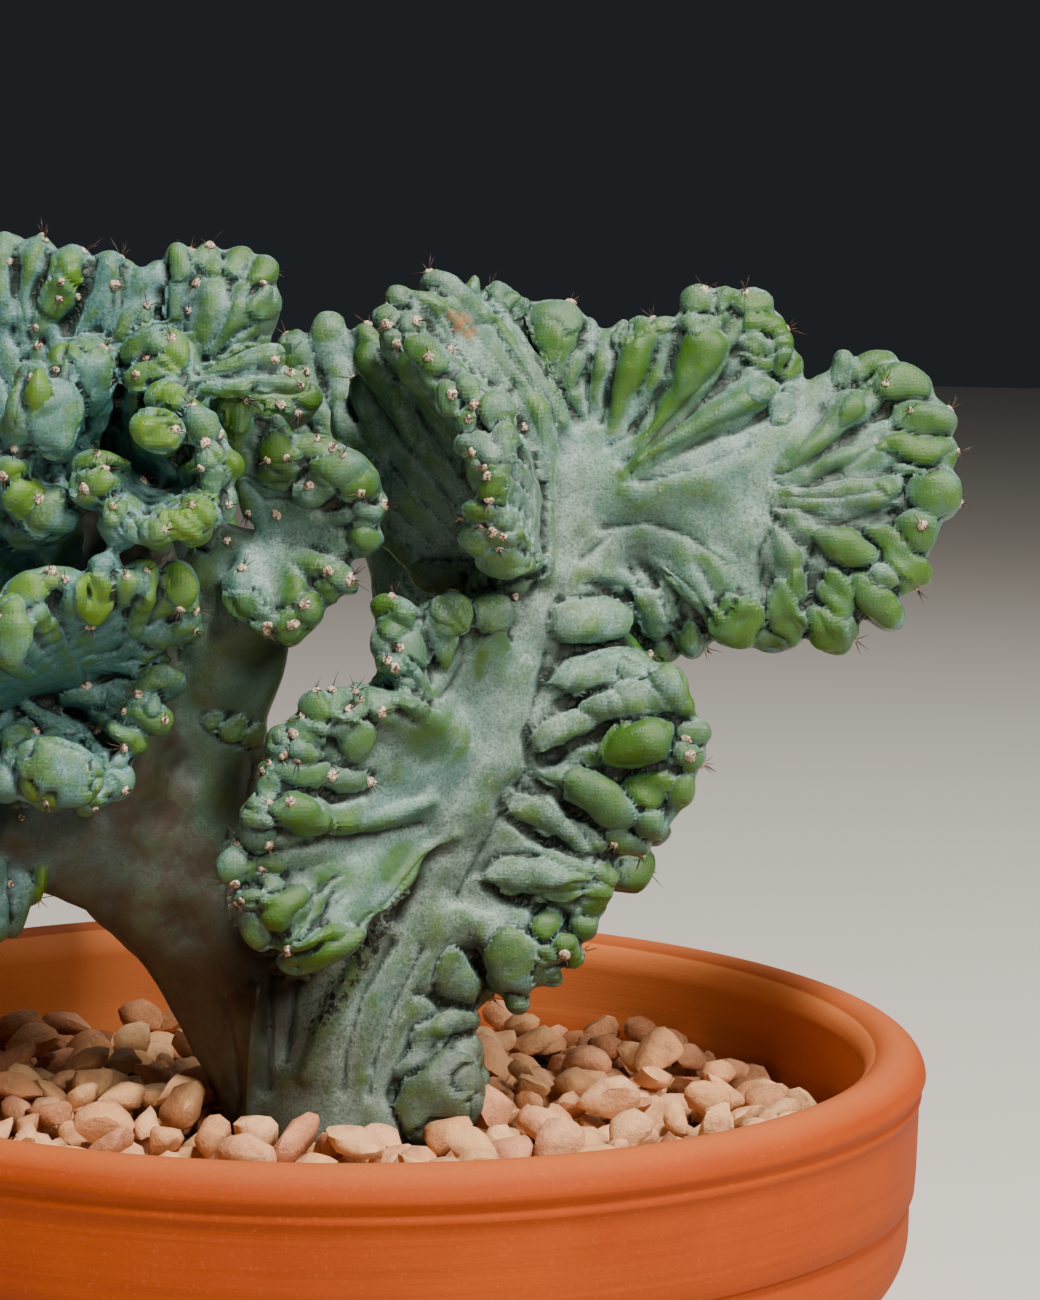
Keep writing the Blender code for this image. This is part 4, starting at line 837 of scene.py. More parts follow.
# Raised lines, in the same form.
RIDGES = [
    (3, 11, [(539, 409), (546, 470), (546, 530), (544, 575)]),
    (2.5, 10, [(384, 925), (352, 975), (322, 1030), (306, 1075)]),
    (2, 8, [(430, 800), (380, 822), (330, 828)]), (2, 7, [(455, 836), (422, 855), (385, 903), (378, 922)]),
    (3, 12, [(763, 392), (700, 428), (640, 462)]), (2.5, 24, [(786, 444), (710, 472), (640, 494)]),
    (2.5, 8, [(256, 990), (250, 1050), (246, 1120)]), (2, 8, [(520, 300), (545, 360), (562, 420)]),
]


def pillow(middle, axes, halves):
    """A closed plump form on three axes: where its round outline has shrunk to a share r, its
    half depth is (1 - r^3)^(1/3) of the full one."""
    turn = np.linspace(0, 2 * math.pi, FORM_SIDES, endpoint=False)
    rise = np.radians(np.linspace(-PILLOW_END, PILLOW_END, PILLOW_RINGS))[:, None]
    out = np.cos(rise) ** (2 / 3)
    deep = np.sign(rise) * np.abs(np.sin(rise)) ** (2 / 3) * np.ones_like(turn)
    form = np.stack([out * np.cos(turn), out * np.sin(turn), deep], axis=-1)
    return closed_skin(middle + (form * halves) @ axes)


def sight_line(px, py):
    """The direction from the eye through a pixel."""
    return unit(seen(px, py, 0) - EYE)


def seat(tree, px, py):
    """The direction through a pixel, where it meets the body and how thick the body is there. Off
    the body it is the place on the line of sight that is nearest to the body, and no thickness."""
    sight = sight_line(px, py)
    hit = tree.ray_cast(Vector(EYE), Vector(sight))[0]
    if hit:
        middle = np.array(hit)
        return sight, middle, tree.ray_cast(Vector(middle + sight * 0.5 * MM), Vector(sight))[3]
    passing = [EYE + sight * far for far in np.arange(*PLANT_REACH, 4 * MM)]
    return sight, min(passing, key=lambda point: tree.find_nearest(Vector(point))[3]), 0


def fold(tree, line):
    """A rib on the body along a line in the picture: an oval of its half widths, partly sunk, that
    closes at both ends as sqrt(1 - u^2), u from 0 to 1 over the last half width. Where the body
    ends it goes on as far from the eye as it was."""
    sights, seats, _ = (np.array(column) for column in zip(*[seat(tree, px, py) for px, py, _ in line]))
    far = np.linalg.norm(seats - EYE, axis=1)
    for station in range(1, len(line)):
        if abs(far[station] - far[station - 1]) > FOLD_LEAP:
            far[station] = far[station - 1]
    seats = EYE + sights * far[:, None]
    halves = np.array([(half, 0, 0) for *_, half in line])
    steps = np.linspace(0, len(line) - 1, FOLD_STEPS * len(line))
    centres = through(seats, steps)
    wide = through(halves, steps)[:, 0] * np.linalg.norm(centres - EYE, axis=1) / EYE_FOCAL_PX
    walked = np.cumsum(np.linalg.norm(np.diff(centres, axis=0, prepend=centres[:1]), axis=1))
    u = 1 - np.clip(np.minimum(walked, walked[-1] - walked) / wide, 0, 1)
    wide *= np.sqrt(np.clip(1 - u ** 2, 0.01, 1))
    ahead = unit(np.gradient(centres, axis=0))
    across = unit(np.cross(ahead, eye_ahead))
    inwards = unit(np.cross(across, ahead))
    inwards *= np.sign(inwards @ eye_ahead)[:, None]
    angles = np.linspace(0, 2 * math.pi, FORM_SIDES, endpoint=False)
    centres = centres + inwards * (FOLD_SUNK * wide)[:, None]
    ring = (across[:, None] * np.cos(angles)[:, None]
            + FOLD_DEPTH * inwards[:, None] * np.sin(angles)[:, None])
    return closed_skin(centres[:, None] + ring * wide[:, None, None])


def lobe(tree, px, py, wide, high, turn):
    """A knob on the body at a pixel. On a thin sheet it reaches through and stands out on both
    sides, and on a thick body it is a low pillow. Off the body it sits on the nearest part."""
    sight, middle, beyond = seat(tree, px, py)
    scale = np.linalg.norm(middle - EYE) / EYE_FOCAL_PX
    narrow = min(wide, high) * scale
    if beyond and beyond < THIN_SHEET:
        deep = beyond / 2 + LOBE_RISE * narrow
        middle = middle + sight * beyond / 2
    else:
        deep = (LOW_LOBE if beyond else LOOSE_LOBE) * narrow
    cosine, sine = math.cos(math.radians(turn)), math.sin(math.radians(turn))
    axes = np.array([eye_right * cosine - eye_up * sine, eye_right * sine + eye_up * cosine, eye_ahead])
    halves = np.array([LOBE_SPREAD * wide / 2 * scale, LOBE_SPREAD * high / 2 * scale, deep])
    return pillow(middle, axes, halves)


def joined(bodies):
    """The points, faces and growth values of several closed bodies as one."""
    points, faces, growths = [], [], []
    count = 0
    for (body_points, body_faces), growth in bodies:
        points.append(body_points)
        faces.extend([[i + count for i in face] for face in body_faces])
        growths.append(np.broadcast_to(growth, (len(body_points), 4)))
        count += len(body_points)
    return np.concatenate(points), faces, np.concatenate(growths)


def numbers(collection, name, width):
    """One value of every element of a mesh collection, as an array with width columns."""
    counts = name in ("vertices", "vertex_index", "loop_total")
    values = np.empty(len(collection) * width, dtype=np.int32 if counts else np.float32)
    collection.foreach_get(name, values)
    return values.reshape(-1, width).astype(int if counts else float)


def normals_at(mesh, points):
    """Puts a mesh's vertices at the points and gives the normal of the surface at each."""
    mesh.vertices.foreach_set("co", points.ravel())
    mesh.update()
    return numbers(mesh.vertex_normals, "vector", 3)


def regrown(name, points, faces, growth, voxel):
    """The one outer skin of several crossing bodies, as even small quads, with the growth values
    of the nearest of the old faces."""
    source = new_piece(name + "_source", points, faces, skin)
    colours = source.data.color_attributes.new("growth", "FLOAT_COLOR", "POINT")
    colours.data.foreach_set("color", growth.ravel())
    grown = new_piece(name, points, faces, skin)
    remesh = grown.modifiers.new("remesh", "REMESH")
    remesh.mode = "VOXEL"
    remesh.voxel_size = voxel
    depsgraph = bpy.context.evaluated_depsgraph_get()
    grown.data = bpy.data.meshes.new_from_object(grown.evaluated_get(depsgraph))
    grown.modifiers.clear()
    grown.data.color_attributes.new("growth", "FLOAT_COLOR", "POINT")
    transfer = grown.modifiers.new("transfer", "DATA_TRANSFER")
    transfer.object = source
    transfer.use_vert_data = True
    transfer.data_types_verts = {"COLOR_VERTEX"}
    transfer.vert_mapping = "POLYINTERP_NEAREST"
    depsgraph.update()
    depsgraph = bpy.context.evaluated_depsgraph_get()
    grown.data = bpy.data.meshes.new_from_object(grown.evaluated_get(depsgraph))
    grown.modifiers.clear()
    bpy.data.objects.remove(source)
    mesh = grown.data
    growth = numbers(mesh.color_attributes["growth"].data, "color", 4)
    return grown, numbers(mesh.vertices, "co", 3), numbers(mesh.edges, "vertices", 2), growth


def smoothed(points, edges, rate, rounds):
    """Points drawn towards the mean of their neighbours, each by its own rate, over some rounds."""
    count = np.bincount(edges.ravel(), minlength=len(points))[:, None]
    for _ in range(rounds):
        total = np.stack([np.bincount(edges[:, 0], points[edges[:, 1], axis], len(points))
                          + np.bincount(edges[:, 1], points[edges[:, 0], axis], len(points))
                          for axis in range(points.shape[1])], axis=-1)
        points = points + (total / count - points) * rate
    return points


def in_picture(points, normals):
    """Where points fall in the picture, and how far each faces the eye, 0 where another hides it."""
    line = points - EYE
    far = line @ eye_ahead
    px = PICTURE_SIZE[0] / 2 + line @ eye_right / far * EYE_FOCAL_PX
    py = PICTURE_SIZE[1] / 2 - line @ eye_up / far * EYE_FOCAL_PX
    column, row = (np.clip((at - start) // CELL_PX, 0, CELLS - 1)
                   for at, start in zip((px, py), CELLS_START))
    cell = (column * CELLS + row).astype(int)
    nearest = np.full(CELLS * CELLS, np.inf)
    np.minimum.at(nearest, cell, far)
    facing = -np.sum(normals * unit(line), axis=1)
    return px, py, ease(facing, 0.15, 0.6) * (far < nearest[cell] + HIDDEN_GAP)


def stroked(px, py, line, half_width, sharp):
    """How strongly a brush drawn along a line touches each place, from the distance d to it in
    half widths: exp(-d^2), or for a sharp brush 0.55 exp(-d^2 / 2.5) + 0.45 exp(-2 d)."""
    near = np.full(len(px), np.inf)
    ends = np.array(line, float)
    box = (px > ends[:, 0].min() - 3 * half_width) & (px < ends[:, 0].max() + 3 * half_width)
    box &= (py > ends[:, 1].min() - 3 * half_width) & (py < ends[:, 1].max() + 3 * half_width)
    places = np.column_stack([px[box], py[box]])
    close = np.full(len(places), np.inf)
    for start, end in zip(ends, ends[1:]):
        along = np.clip((places - start) @ (end - start) / ((end - start) @ (end - start)), 0, 1)
        close = np.minimum(close, np.linalg.norm(places - start - along[:, None] * (end - start), axis=1))
    near[box] = close
    out = near / half_width
    return 0.55 * np.exp(-out ** 2 / 2.5) + 0.45 * np.exp(-2 * out) if sharp else np.exp(-out ** 2)


def carved(mesh, points, strokes, sign):
    """Points moved along their normals under each stroke that shows: out (sign 1) by round
    strokes, or in (sign -1) by sharp ones, to 0.6 of the listed depth and never deeper than
    0.6 mm and 0.16 mm for each pixel of their half width."""
    normals = normals_at(mesh, points)
    px, py, shown = in_picture(points, normals)
    amount = np.zeros(len(points))
    for depth, half_width, line in strokes:
        if sign < 0:
            depth = min(0.6 * depth, 0.6 + 0.16 * half_width)
        amount = np.maximum(amount, depth * MM * stroked(px, py, line, half_width, sign < 0))
    return points + normals * (sign * amount * shown)[:, None]


def waved(points, size, draw):
    """A soft random value of about -1 to 1 at each point: the sum of sine waves of one size that
    run in random directions, divided by 3."""
    total = np.zeros(len(points))
    for _ in range(WAVES):
        total += np.sin(points @ (unit(draw.normal(size=3)) * 2 * math.pi / size)
                        + draw.uniform(0, 2 * math.pi))
    return total / 3


def oval_share(px, py, oval):
    """How far out places are in a turned oval, from 0 at its middle to 1 on its outline."""
    middle_x, middle_y, wide, high, turn = oval
    right, down = px - middle_x, py - middle_y
    cosine, sine = math.cos(math.radians(turn)), math.sin(math.radians(turn))
    return np.hypot((right * cosine + down * sine) * 2 / wide, (down * cosine - right * sine) * 2 / high)


def line_share(px, py, line):
    """How far out places are from a line of (x, y, half width), from 0 on it to 1 at its side."""
    ends = np.array(line, float)
    out = np.full(len(px), 9.0)
    places = np.column_stack([px, py])
    for start, end in zip(ends, ends[1:]):
        step = end[:2] - start[:2]
        along = np.clip((places - start[:2]) @ step / (step @ step), 0, 1)
        gap = np.linalg.norm(places - start[:2] - along[:, None] * step, axis=1)
        out = np.minimum(out, gap / (start[2] + along * (end[2] - start[2])))
    return out


def nearest_forms(px, py, forms):
    """For each place in the picture: how far out it is in the nearest form, how much further out
    it is in the next one, the nearest one's half width in mm and how green it is. The forms are
    (middle x, middle y, reach, half width in pixels, how green, function for how far out)."""
    share, beyond = np.full(len(px), 9.0), np.full(len(px), 9.0)
    half, green = np.ones(len(px)), np.zeros(len(px))
    for middle_x, middle_y, reach, half_width, fresh, out_of in forms:
        spot = np.flatnonzero(np.hypot(px - middle_x, py - middle_y) < reach)
        out = out_of(px[spot], py[spot])
        nearer = out < share[spot]
        beyond[spot] = np.where(nearer, share[spot], np.minimum(beyond[spot], out))
        spot, out = spot[nearer], out[nearer]
        share[spot] = out
        half[spot] = half_width * PIXEL_MM
        green[spot] = fresh
    return share, beyond - share, half, green


def standing_out(mesh, points, edges, rounds):
    """How far each point stands out from the skin as it would be with its detail smoothed off,
    and its normal."""
    normals = normals_at(mesh, points)
    level = smoothed(points, edges, 0.6, rounds)
    return np.sum((points - level) * normals, axis=1), normals


# Firm succulent skin: blue-green under a pale wax bloom, rubbed and young parts fresh green.
skin, tree, shader, place = new_material("waxy_blue_green_skin")
grown = add(tree, "Attribute", {}, "Color", attribute_name="growth")
fresh, old = (add(tree, "SeparateColor", {0: grown}, channel) for channel in (1, 2))
raised, crease, speckled, scarred = (
    add(tree, "Attribute", {}, "Fac", attribute_name=name)
    for name in ("raised", "crease", "speckled", "scarred"))
facing_up = add(tree, "SeparateXYZ", {0: add(tree, "NewGeometry", {}, "Normal")}, 2)
cloud, drift, mottle, scurf, scuff, grain = (
    add(tree, "TexNoise", {"Vector": place, "Scale": 1 / (size * MM), "Detail": detail,
                           "Roughness": rough, "Distortion": bent})
    for size, detail, rough, bent in ((34, 5, 0.6, 0), (17, 9, 0.66, 0.5), (9, 9, 0.72, 0.8),
                                      (6, 10, 0.8, 0.4), (3.4, 7, 0.75, 0), (0.9, 3, 0.6, 0)))
# Blue-green under the wax, paler where it clouds, bluer on the left head, olive along the ribs.
clouded = add(tree, "MapRange", {0: cloud, 1: 0.38, 2: 0.62})
younger = add(tree, "MapRange", {0: add(tree, "SeparateXYZ", {0: place}, 0), 1: -20 * MM, 2: -60 * MM})
bluer = add(tree, "Math", {0: younger, 1: 0.7}, operation="MULTIPLY")
olive = add(tree, "MapRange", {0: drift, 1: 0.44, 2: 0.58, 3: 0.2, 4: 1})
along = add(tree, "MapRange", {0: raised, 1: 0.46, 2: 0.57, 3: 0.1, 4: 1})
olive = add(tree, "Math", {0: olive, 1: along}, operation="MULTIPLY")
# The wax bloom lies thick in the hollows and is thin on the ridges, on young and olive skin, and
# where it is scuffed off in crisp flecks. It is made thicker on faces that look up, as painted
# light from above.
wax = add(tree, "MapRange", {0: mottle, 1: 0.32, 2: 0.68, 3: 0.28, 4: 0.58})
bare = add(tree, "MapRange", {0: fresh, 1: 0.25, 2: 0.8, 3: 1.2, 4: 0.2})
# Painted light from above: faces that look up get more of the pale wax and scurf.
painted_top_light = add(tree, "MapRange", {0: facing_up, 1: -0.7, 2: 0.8, 3: 0.35, 4: 1.3})
rubbed = add(tree, "MapRange", {0: scuff, 1: 0.38, 2: 0.46, 3: 0.45, 4: 1})
dotted = add(tree, "MapRange", {0: grain, 1: 0.36, 2: 0.56, 3: 0.5, 4: 1.1})
ridge = add(tree, "MapRange", {0: raised, 1: 0.46, 2: 0.6, 3: 1.15, 4: 0.65})
thin = add(tree, "MapRange", {0: olive, 3: 1.1, 4: 0.4})
for share in (bare, painted_top_light, rubbed, dotted, ridge, thin):
    wax = add(tree, "Math", {0: wax, 1: share}, operation="MULTIPLY", use_clamp=True)
bloom = add(tree, "Mix", {0: younger, 6: linear(WAX), 7: linear(WAX_BLUE)}, 2, data_type="RGBA")
# White scurf where the bloom has cracked and lifted, kept to faces that look up as painted light
# from above, and dark pores.
flaky = add(tree, "MapRange", {0: scurf, 1: 0.6, 2: 0.65, 4: 0.5})
salt = add(tree, "MapRange", {0: grain, 1: 0.6, 2: 0.7, 4: 0.2})
flaky = add(tree, "Math", {0: flaky, 1: salt}, operation="MAXIMUM")
for share in (painted_top_light, bare):
    flaky = add(tree, "Math", {0: flaky, 1: share}, operation="MULTIPLY", use_clamp=True)
pores = add(tree, "MapRange", {0: grain, 1: 0.42, 2: 0.32, 4: 0.45})
# Young knobs turn fresh green on their crowns, and brighter on the left head.
green = add(tree, "MapRange", {0: fresh, 1: 0.52, 2: 0.78, 4: 0.95})
patchy = add(tree, "MapRange", {0: scuff, 1: 0.42, 2: 0.58, 3: 1, 4: 0.62})
green = add(tree, "Math", {0: green, 1: patchy}, operation="MULTIPLY")
lime = add(tree, "Mix", {0: younger, 6: linear(FRESH), 7: linear(FRESH_BRIGHT)}, 2, data_type="RGBA")
# Old skin at the foot turns to grey-brown cork, made darker partly as painted shade for the
# shaded left limb, and hollows and clefts are darkened as painted shade.
corky = add(tree, "MapRange", {0: mottle, 1: 0.3, 2: 0.58, 3: 0.6, 4: 0.98})
corky = add(tree, "Math", {0: corky, 1: old}, operation="MULTIPLY")
# Painted shade: hollows and clefts darkened by how far the skin sinks in.
painted_hollow_shade = add(tree, "MapRange", {0: raised, 1: 0.47, 2: 0.2, 4: 0.9})
painted_cleft_shade = add(tree, "MapRange", {0: crease, 1: 0.4, 2: 0.15, 4: 0.9})
# Black specks line one rib of the foot, and a dry tan scab sits on the hood.
specks = add(tree, "MapRange", {0: scuff, 1: 0.51, 2: 0.55})
specks = add(tree, "Math", {0: specks, 1: speckled}, operation="MULTIPLY")
ragged = add(tree, "MapRange", {0: scuff, 1: 0.6, 2: 0.48})
scab = add(tree, "Math", {0: scarred, 1: ragged}, operation="MULTIPLY")
# All of it in layers, from the skin under the wax out to the scab.
colour = linear(SKIN_DEEP)
for share, tint in ((clouded, linear(SKIN_PALE)), (bluer, linear(SKIN_BLUE)), (olive, linear(SKIN_OLIVE)),
                    (wax, bloom), (flaky, linear(SCURF)), (pores, linear(PORE)), (green, lime),
                    (corky, linear(CORK)), (painted_hollow_shade, linear(PAINTED_HOLLOW_SHADE)), (painted_cleft_shade, linear(PAINTED_CLEFT_SHADE)),
                    (specks, linear(SPECK)), (scab, linear(SCAB))):
    colour = add(tree, "Mix", {0: share, 6: colour, 7: tint}, 2, data_type="RGBA")
tree.links.new(colour, shader["Base Color"])
tree.links.new(add(tree, "MapRange", {0: wax, 3: 0.36, 4: 0.7}), shader["Roughness"])
shader["Specular IOR Level"].default_value = 0.45
worn = add(tree, "Bump", {"Height": scurf, "Strength": 0.45, "Distance": 0.8 * MM})
worn = add(tree, "Bump", {"Height": scuff, "Strength": 0.45, "Distance": 0.5 * MM, "Normal": worn})
grainy = add(tree, "Bump", {"Height": grain, "Strength": 0.3, "Distance": 0.2 * MM, "Normal": worn})
tree.links.new(grainy, shader["Normal"])

dice = np.random.default_rng(11)
rib_tips = []
bodies = [(limb(stations), LIMB_SKIN[name]) for name, stations in LIMBS.items()]
bodies += [crest(*settings, dice) for settings in CRESTS.values()]
rough_points, rough_faces, _ = joined(bodies)
surface = BVHTree.FromPolygons(rough_points.tolist(), rough_faces)
bodies += [(fold(surface, line), FORM_GROWTH) for _, line in FOLDS]
bodies += [(lobe(surface, *settings[:5]), FORM_GROWTH) for settings in LOBES]
plant, points, edges, growth = regrown("plant_skin", *joined(bodies), VOXEL)
groove = smoothed(growth[:, :1], edges, 0.3, 1)[:, 0]
growth = smoothed(growth, edges, 0.5, 8)
growth[:, 2] = np.maximum(growth[:, 2], OLD_FOOT * ease(points[:, 2], *OLD_HEIGHTS))

# The joints flow together, the ribs stay firm, and each knob is one smooth cushion.
px, py, shown = in_picture(points, normals_at(plant.data, points))
px = px + WANDER_PX * waved(points, WANDER_SIZE, dice)
py = py + WANDER_PX * waved(points, WANDER_SIZE, dice)
knobs = [(*oval[:2], max(oval[2:4]), min(oval[2:4]) / 2, oval[5],
          lambda x, y, oval=oval: oval_share(x, y, oval[:5])) for oval in LOBES]
ribs = [(*np.mean(line, axis=0)[:2], np.ptp(line, axis=0)[:2].sum() / 2 + RIB_MARGIN_PX, RIB_HALF_PX, fresh,
         lambda x, y, line=line: line_share(x, y, line)) for fresh, line in FOLDS]
share, apart, half, green = nearest_forms(px, py, knobs)
rib_share, rib_apart, _, rib_green = nearest_forms(px, py, ribs)
within = ease(share, 1.0, 0.7) * shown
on_rib = ease(rib_share, 1.0, 0.6) * shown
rate = JOINT_RATE - FIRM_RATE_DROP * ease(growth[:, 3], 0.05, 0.6)
rate = np.maximum(rate, KNOB_RATE * within)[:, None]
points = smoothed(points, edges, rate, SOFTENING_ROUNDS)
dome = np.cbrt(np.clip(1 - share ** 3, 0, 1))
rim = np.exp(-np.abs(share - 1) * half / RIM_WIDTH)
meeting = np.exp(-apart / MEETING_WIDTH) * ease(share, 1.6, 1.1)
rib_meeting = np.exp(-rib_apart / MEETING_WIDTH) * ease(rib_share, 1.7, 1.1) * (1 - within)
relief = (KNOB_RISE * half * dome - RIM_DEPTH * rim * (1 - 0.7 * on_rib)) * MM * shown
relief -= MEETING_DEPTH * np.maximum(meeting, rib_meeting) * MM * shown
relief -= GROOVE_DEPTH * groove * (1 - within) * (1 - on_rib)
relief += UNEVEN_HEIGHT * waved(points, UNEVEN_SIZE, dice)
relief += WRINKLE_HEIGHT * waved(points, WRINKLE_SIZE, dice) * (0.3 + 0.7 * growth[:, 3])
points = points + normals_at(plant.data, points) * relief[:, None]
points = carved(plant.data, points, RIDGES, 1)
points = carved(plant.data, points, CREASES, -1)
points = smoothed(points, edges, 0.3, 1)
detail, normals = standing_out(plant.data, points, edges, 6)
sharpen = np.where(detail < 0, *SHARPENING) * np.clip(detail, *SHARPEN_LIMITS)
points = smoothed(points + normals * sharpen[:, None], edges, 0.25, 1)
broad, _ = standing_out(plant.data, points, edges, BROAD_ROUNDS)
fine, _ = standing_out(plant.data, points, edges, FINE_ROUNDS)

# How green the skin is, its marks, and how far it stands out, as the values the material reads.
growth[:, 1] += 0.5 * rib_green * np.clip(1.2 - rib_share ** 2, 0, 1) * shown
for *oval, fresh in PATCHES:
    growth[:, 1] += 0.5 * fresh * ease(oval_share(px, py, oval), 1.2, 0.5) * shown
on_knob = shown * (share < 1.1)
growth[:, 1] += (0.5 * green * np.clip(1.2 - share ** 2, 0, 1) + (0.5 - growth[:, 1])) * on_knob
growth[:, 1] = np.clip(growth[:, 1], 0, 1)
speckled = ease(line_share(px, py, [(*spot, SPECKLED_HALF) for spot in SPECKLED]), 1.3, 0.5) * shown
scarred = ease(oval_share(px, py, SCAR), 1.1, 0.8) * shown
plant.data.color_attributes["growth"].data.foreach_set("color", growth.ravel())
for name, value in (("raised", 0.5 + broad / RAISED_SPAN), ("crease", 0.5 + fine / CREASE_SPAN),
                    ("speckled", speckled), ("scarred", scarred)):
    layer = plant.data.attributes.new(name, "FLOAT", "POINT")
    layer.data.foreach_set("value", np.clip(value, 0, 1))

# The skin is cut level through its stems into five closed pieces of like size.
work = bmesh.new()
work.from_mesh(plant.data)
for height in CUTS.values():
    everything = [*work.verts, *work.edges, *work.faces]
    bmesh.ops.bisect_plane(work, geom=everything, dist=MERGE_GAP, plane_co=(0, 0, height),
                           plane_no=(0, 0, 1))
work.to_mesh(plant.data)
work.free()
mesh = plant.data
points = numbers(mesh.vertices, "co", 3)
whole = BVHTree.FromObject(plant, bpy.context.evaluated_depsgraph_get())
corners = numbers(mesh.loops, "vertex_index", 1)[:, 0]
sides = numbers(mesh.polygons, "loop_total", 1)[:, 0]
face_of_corner = np.repeat(np.arange(len(sides)), sides)
middle_height = np.bincount(face_of_corner, points[corners, 2]) / sides

# Points that hang together above the foot's cut get the lowest number among them.
links = numbers(mesh.edges, "vertices", 2)
links = links[points[links].mean(axis=1)[:, 2] > CUTS["foot"]]
label = np.arange(len(points))
settled = False
while not settled:
    before = label
    lowest = np.minimum(label[links[:, 0]], label[links[:, 1]])
    label = label.copy()
    np.minimum.at(label, label[links[:, 0]], lowest)
    np.minimum.at(label, label[links[:, 1]], lowest)
    label = label[label]
    settled = np.array_equal(label, before)
face_label = label[corners[np.cumsum(sides) - 1]]
right = face_label == label[np.argmax(points[:, 0])]
above = np.where(right, middle_height > CUTS["right"], middle_height > CUTS["left"])
zone = np.where(middle_height < CUTS["foot"], 0, 1 + 2 * right + above)
for number, name in enumerate(("stem_foot", "left_head_skirt", "left_head_top", "side_folds", "right_head")):
    kept = plant.copy()
    kept.data = mesh.copy()
    kept.name = kept.data.name = name
    bpy.context.scene.collection.objects.link(kept)
    work = bmesh.new()
    work.from_mesh(kept.data)
    work.faces.ensure_lookup_table()
    elsewhere = [work.faces[i] for i in np.flatnonzero(zone != number).tolist()]
    bmesh.ops.delete(work, geom=elsewhere, context="FACES")
    bmesh.ops.holes_fill(work, edges=[edge for edge in work.edges if edge.is_boundary], sides=0)
    work.to_mesh(kept.data)
    work.free()
    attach(kept, "root")
    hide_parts("cactus")
bpy.data.objects.remove(plant)

# The areoles. Every knob carries a tuft of short cream wool with a few dark, stiff spines in
# it, seated on the skin. They are thick on the left head, the hood and the ear, and few on the
# hand, whose knobs are young. These show, each at (pixel x, pixel y), and more sit on rib ends.
AREOLES = [
    (885, 383), (910, 410), (958, 452), (922, 525), (705, 290), (745, 292), (469, 419), (472, 452),
    (487, 476), (489, 500), (459, 519), (480, 526), (493, 532), (499, 549), (515, 597), (524, 427),
    (388, 326), (396, 344), (417, 321), (452, 394), (451, 350), (316, 690), (332, 689), (349, 710),
    (293, 734), (269, 763), (284, 756), (298, 761), (332, 776), (371, 782), (269, 803), (290, 801),
    (269, 845), (262, 870), (235, 884), (242, 901), (400, 648), (387, 660), (360, 700), (382, 712),
    (686, 740), (690, 756), (564, 955), (614, 845), (59, 299), (61, 282), (78, 297), (36, 328),
    (38, 345), (147, 306), (115, 285), (158, 260), (196, 284), (263, 283), (188, 311), (210, 245),
    (176, 430), (56, 370), (147, 358), (136, 375), (116, 402), (97, 454), (106, 468), (143, 480),
    (113, 506), (205, 443), (201, 468), (192, 505), (246, 401), (281, 405), (298, 414), (267, 460),
    (286, 458), (361, 493), (343, 455), (332, 448), (309, 485), (277, 515), (248, 513), (227, 541),
    (243, 568), (328, 571), (351, 576), (304, 604), (293, 625), (267, 626), (51, 571), (90, 627),
    (126, 576), (180, 609), (195, 631), (86, 685), (138, 694), (124, 711), (95, 809), (21, 818),
    (98, 731), (123, 748), (35, 731), (25, 939), (6, 958), (10, 884), (10, 262), (45, 240),
    (84, 251), (222, 247), (301, 385), (306, 372), (275, 360), (290, 372), (14, 449), (3, 476),
]
TUFT_RADIUS = 1.5 * MM
TUFT_SIZES = (0.75, 1.3)
TUFT_SQUASH = (1, 1, 0.6)
TUFT_SHAG = 0.28
SPINES_PER_TUFT = (3, 6)
SPINE_SPREAD = 0.75
SPINE_UPRIGHT = 0.4
SPINE_LENGTH = (3.5 * MM, 7.5 * MM)
SPINE_RADIUS = 0.24 * MM
SPINE_BEND = 0.12
# Along a spine, as (share of its length, share of its radius).
SPINE_TAPER = ((-0.1, 1.0), (0.55, 0.7), (1.0, 0.08))
BALL_DETAIL = 2
WOOL = "#d8cbb8"
WOOL_PIT = "#6b4c38"
HORN = "#1d130d"
HORN_PALE = "#5a4432"


def faceted_ball():
    """The points and faces of a ball of near-equal triangles, 80 of them."""
    work = bmesh.new()
    bmesh.ops.create_icosphere(work, subdivisions=BALL_DETAIL, radius=1)
    work.verts.ensure_lookup_table()
    points = np.array([point.co[:] for point in work.verts])
    faces = np.array([[point.index for point in face.verts] for face in work.faces])
    work.free()
    return points, faces


def frames(ahead, draw):
    """Three square axes for each direction, with a random turn about it."""
    side = unit(np.cross(ahead, unit(draw.normal(size=ahead.shape))))
    return np.stack([side, np.cross(ahead, side), ahead], axis=1)


def scattered(points, faces, count):
    """The faces of count copies of a shape whose points follow each other."""
    return (faces[None] + (np.arange(count) * points)[:, None, None]).reshape(-1, faces.shape[1]).tolist()


seats = [whole.ray_cast(Vector(EYE), Vector(sight_line(px, py)))[:2] for px, py in AREOLES]
seats += [whole.find_nearest(Vector(tip))[:2] for tip in np.concatenate(rib_tips)[::2]]
seats = [(np.array(place), np.array(normal)) for place, normal in seats if place is not None]
feet, outward = (np.array(column) for column in zip(*seats))
ball, ball_faces = faceted_ball()
shag = 1 + TUFT_SHAG * dice.uniform(-1, 1, (len(feet), len(ball), 1))
tuft = ball * shag * (TUFT_RADIUS * dice.uniform(*TUFT_SIZES, (len(feet), 1, 1))) * TUFT_SQUASH
tufts = feet[:, None] + np.einsum("npi,nij->npj", tuft, frames(outward, dice))

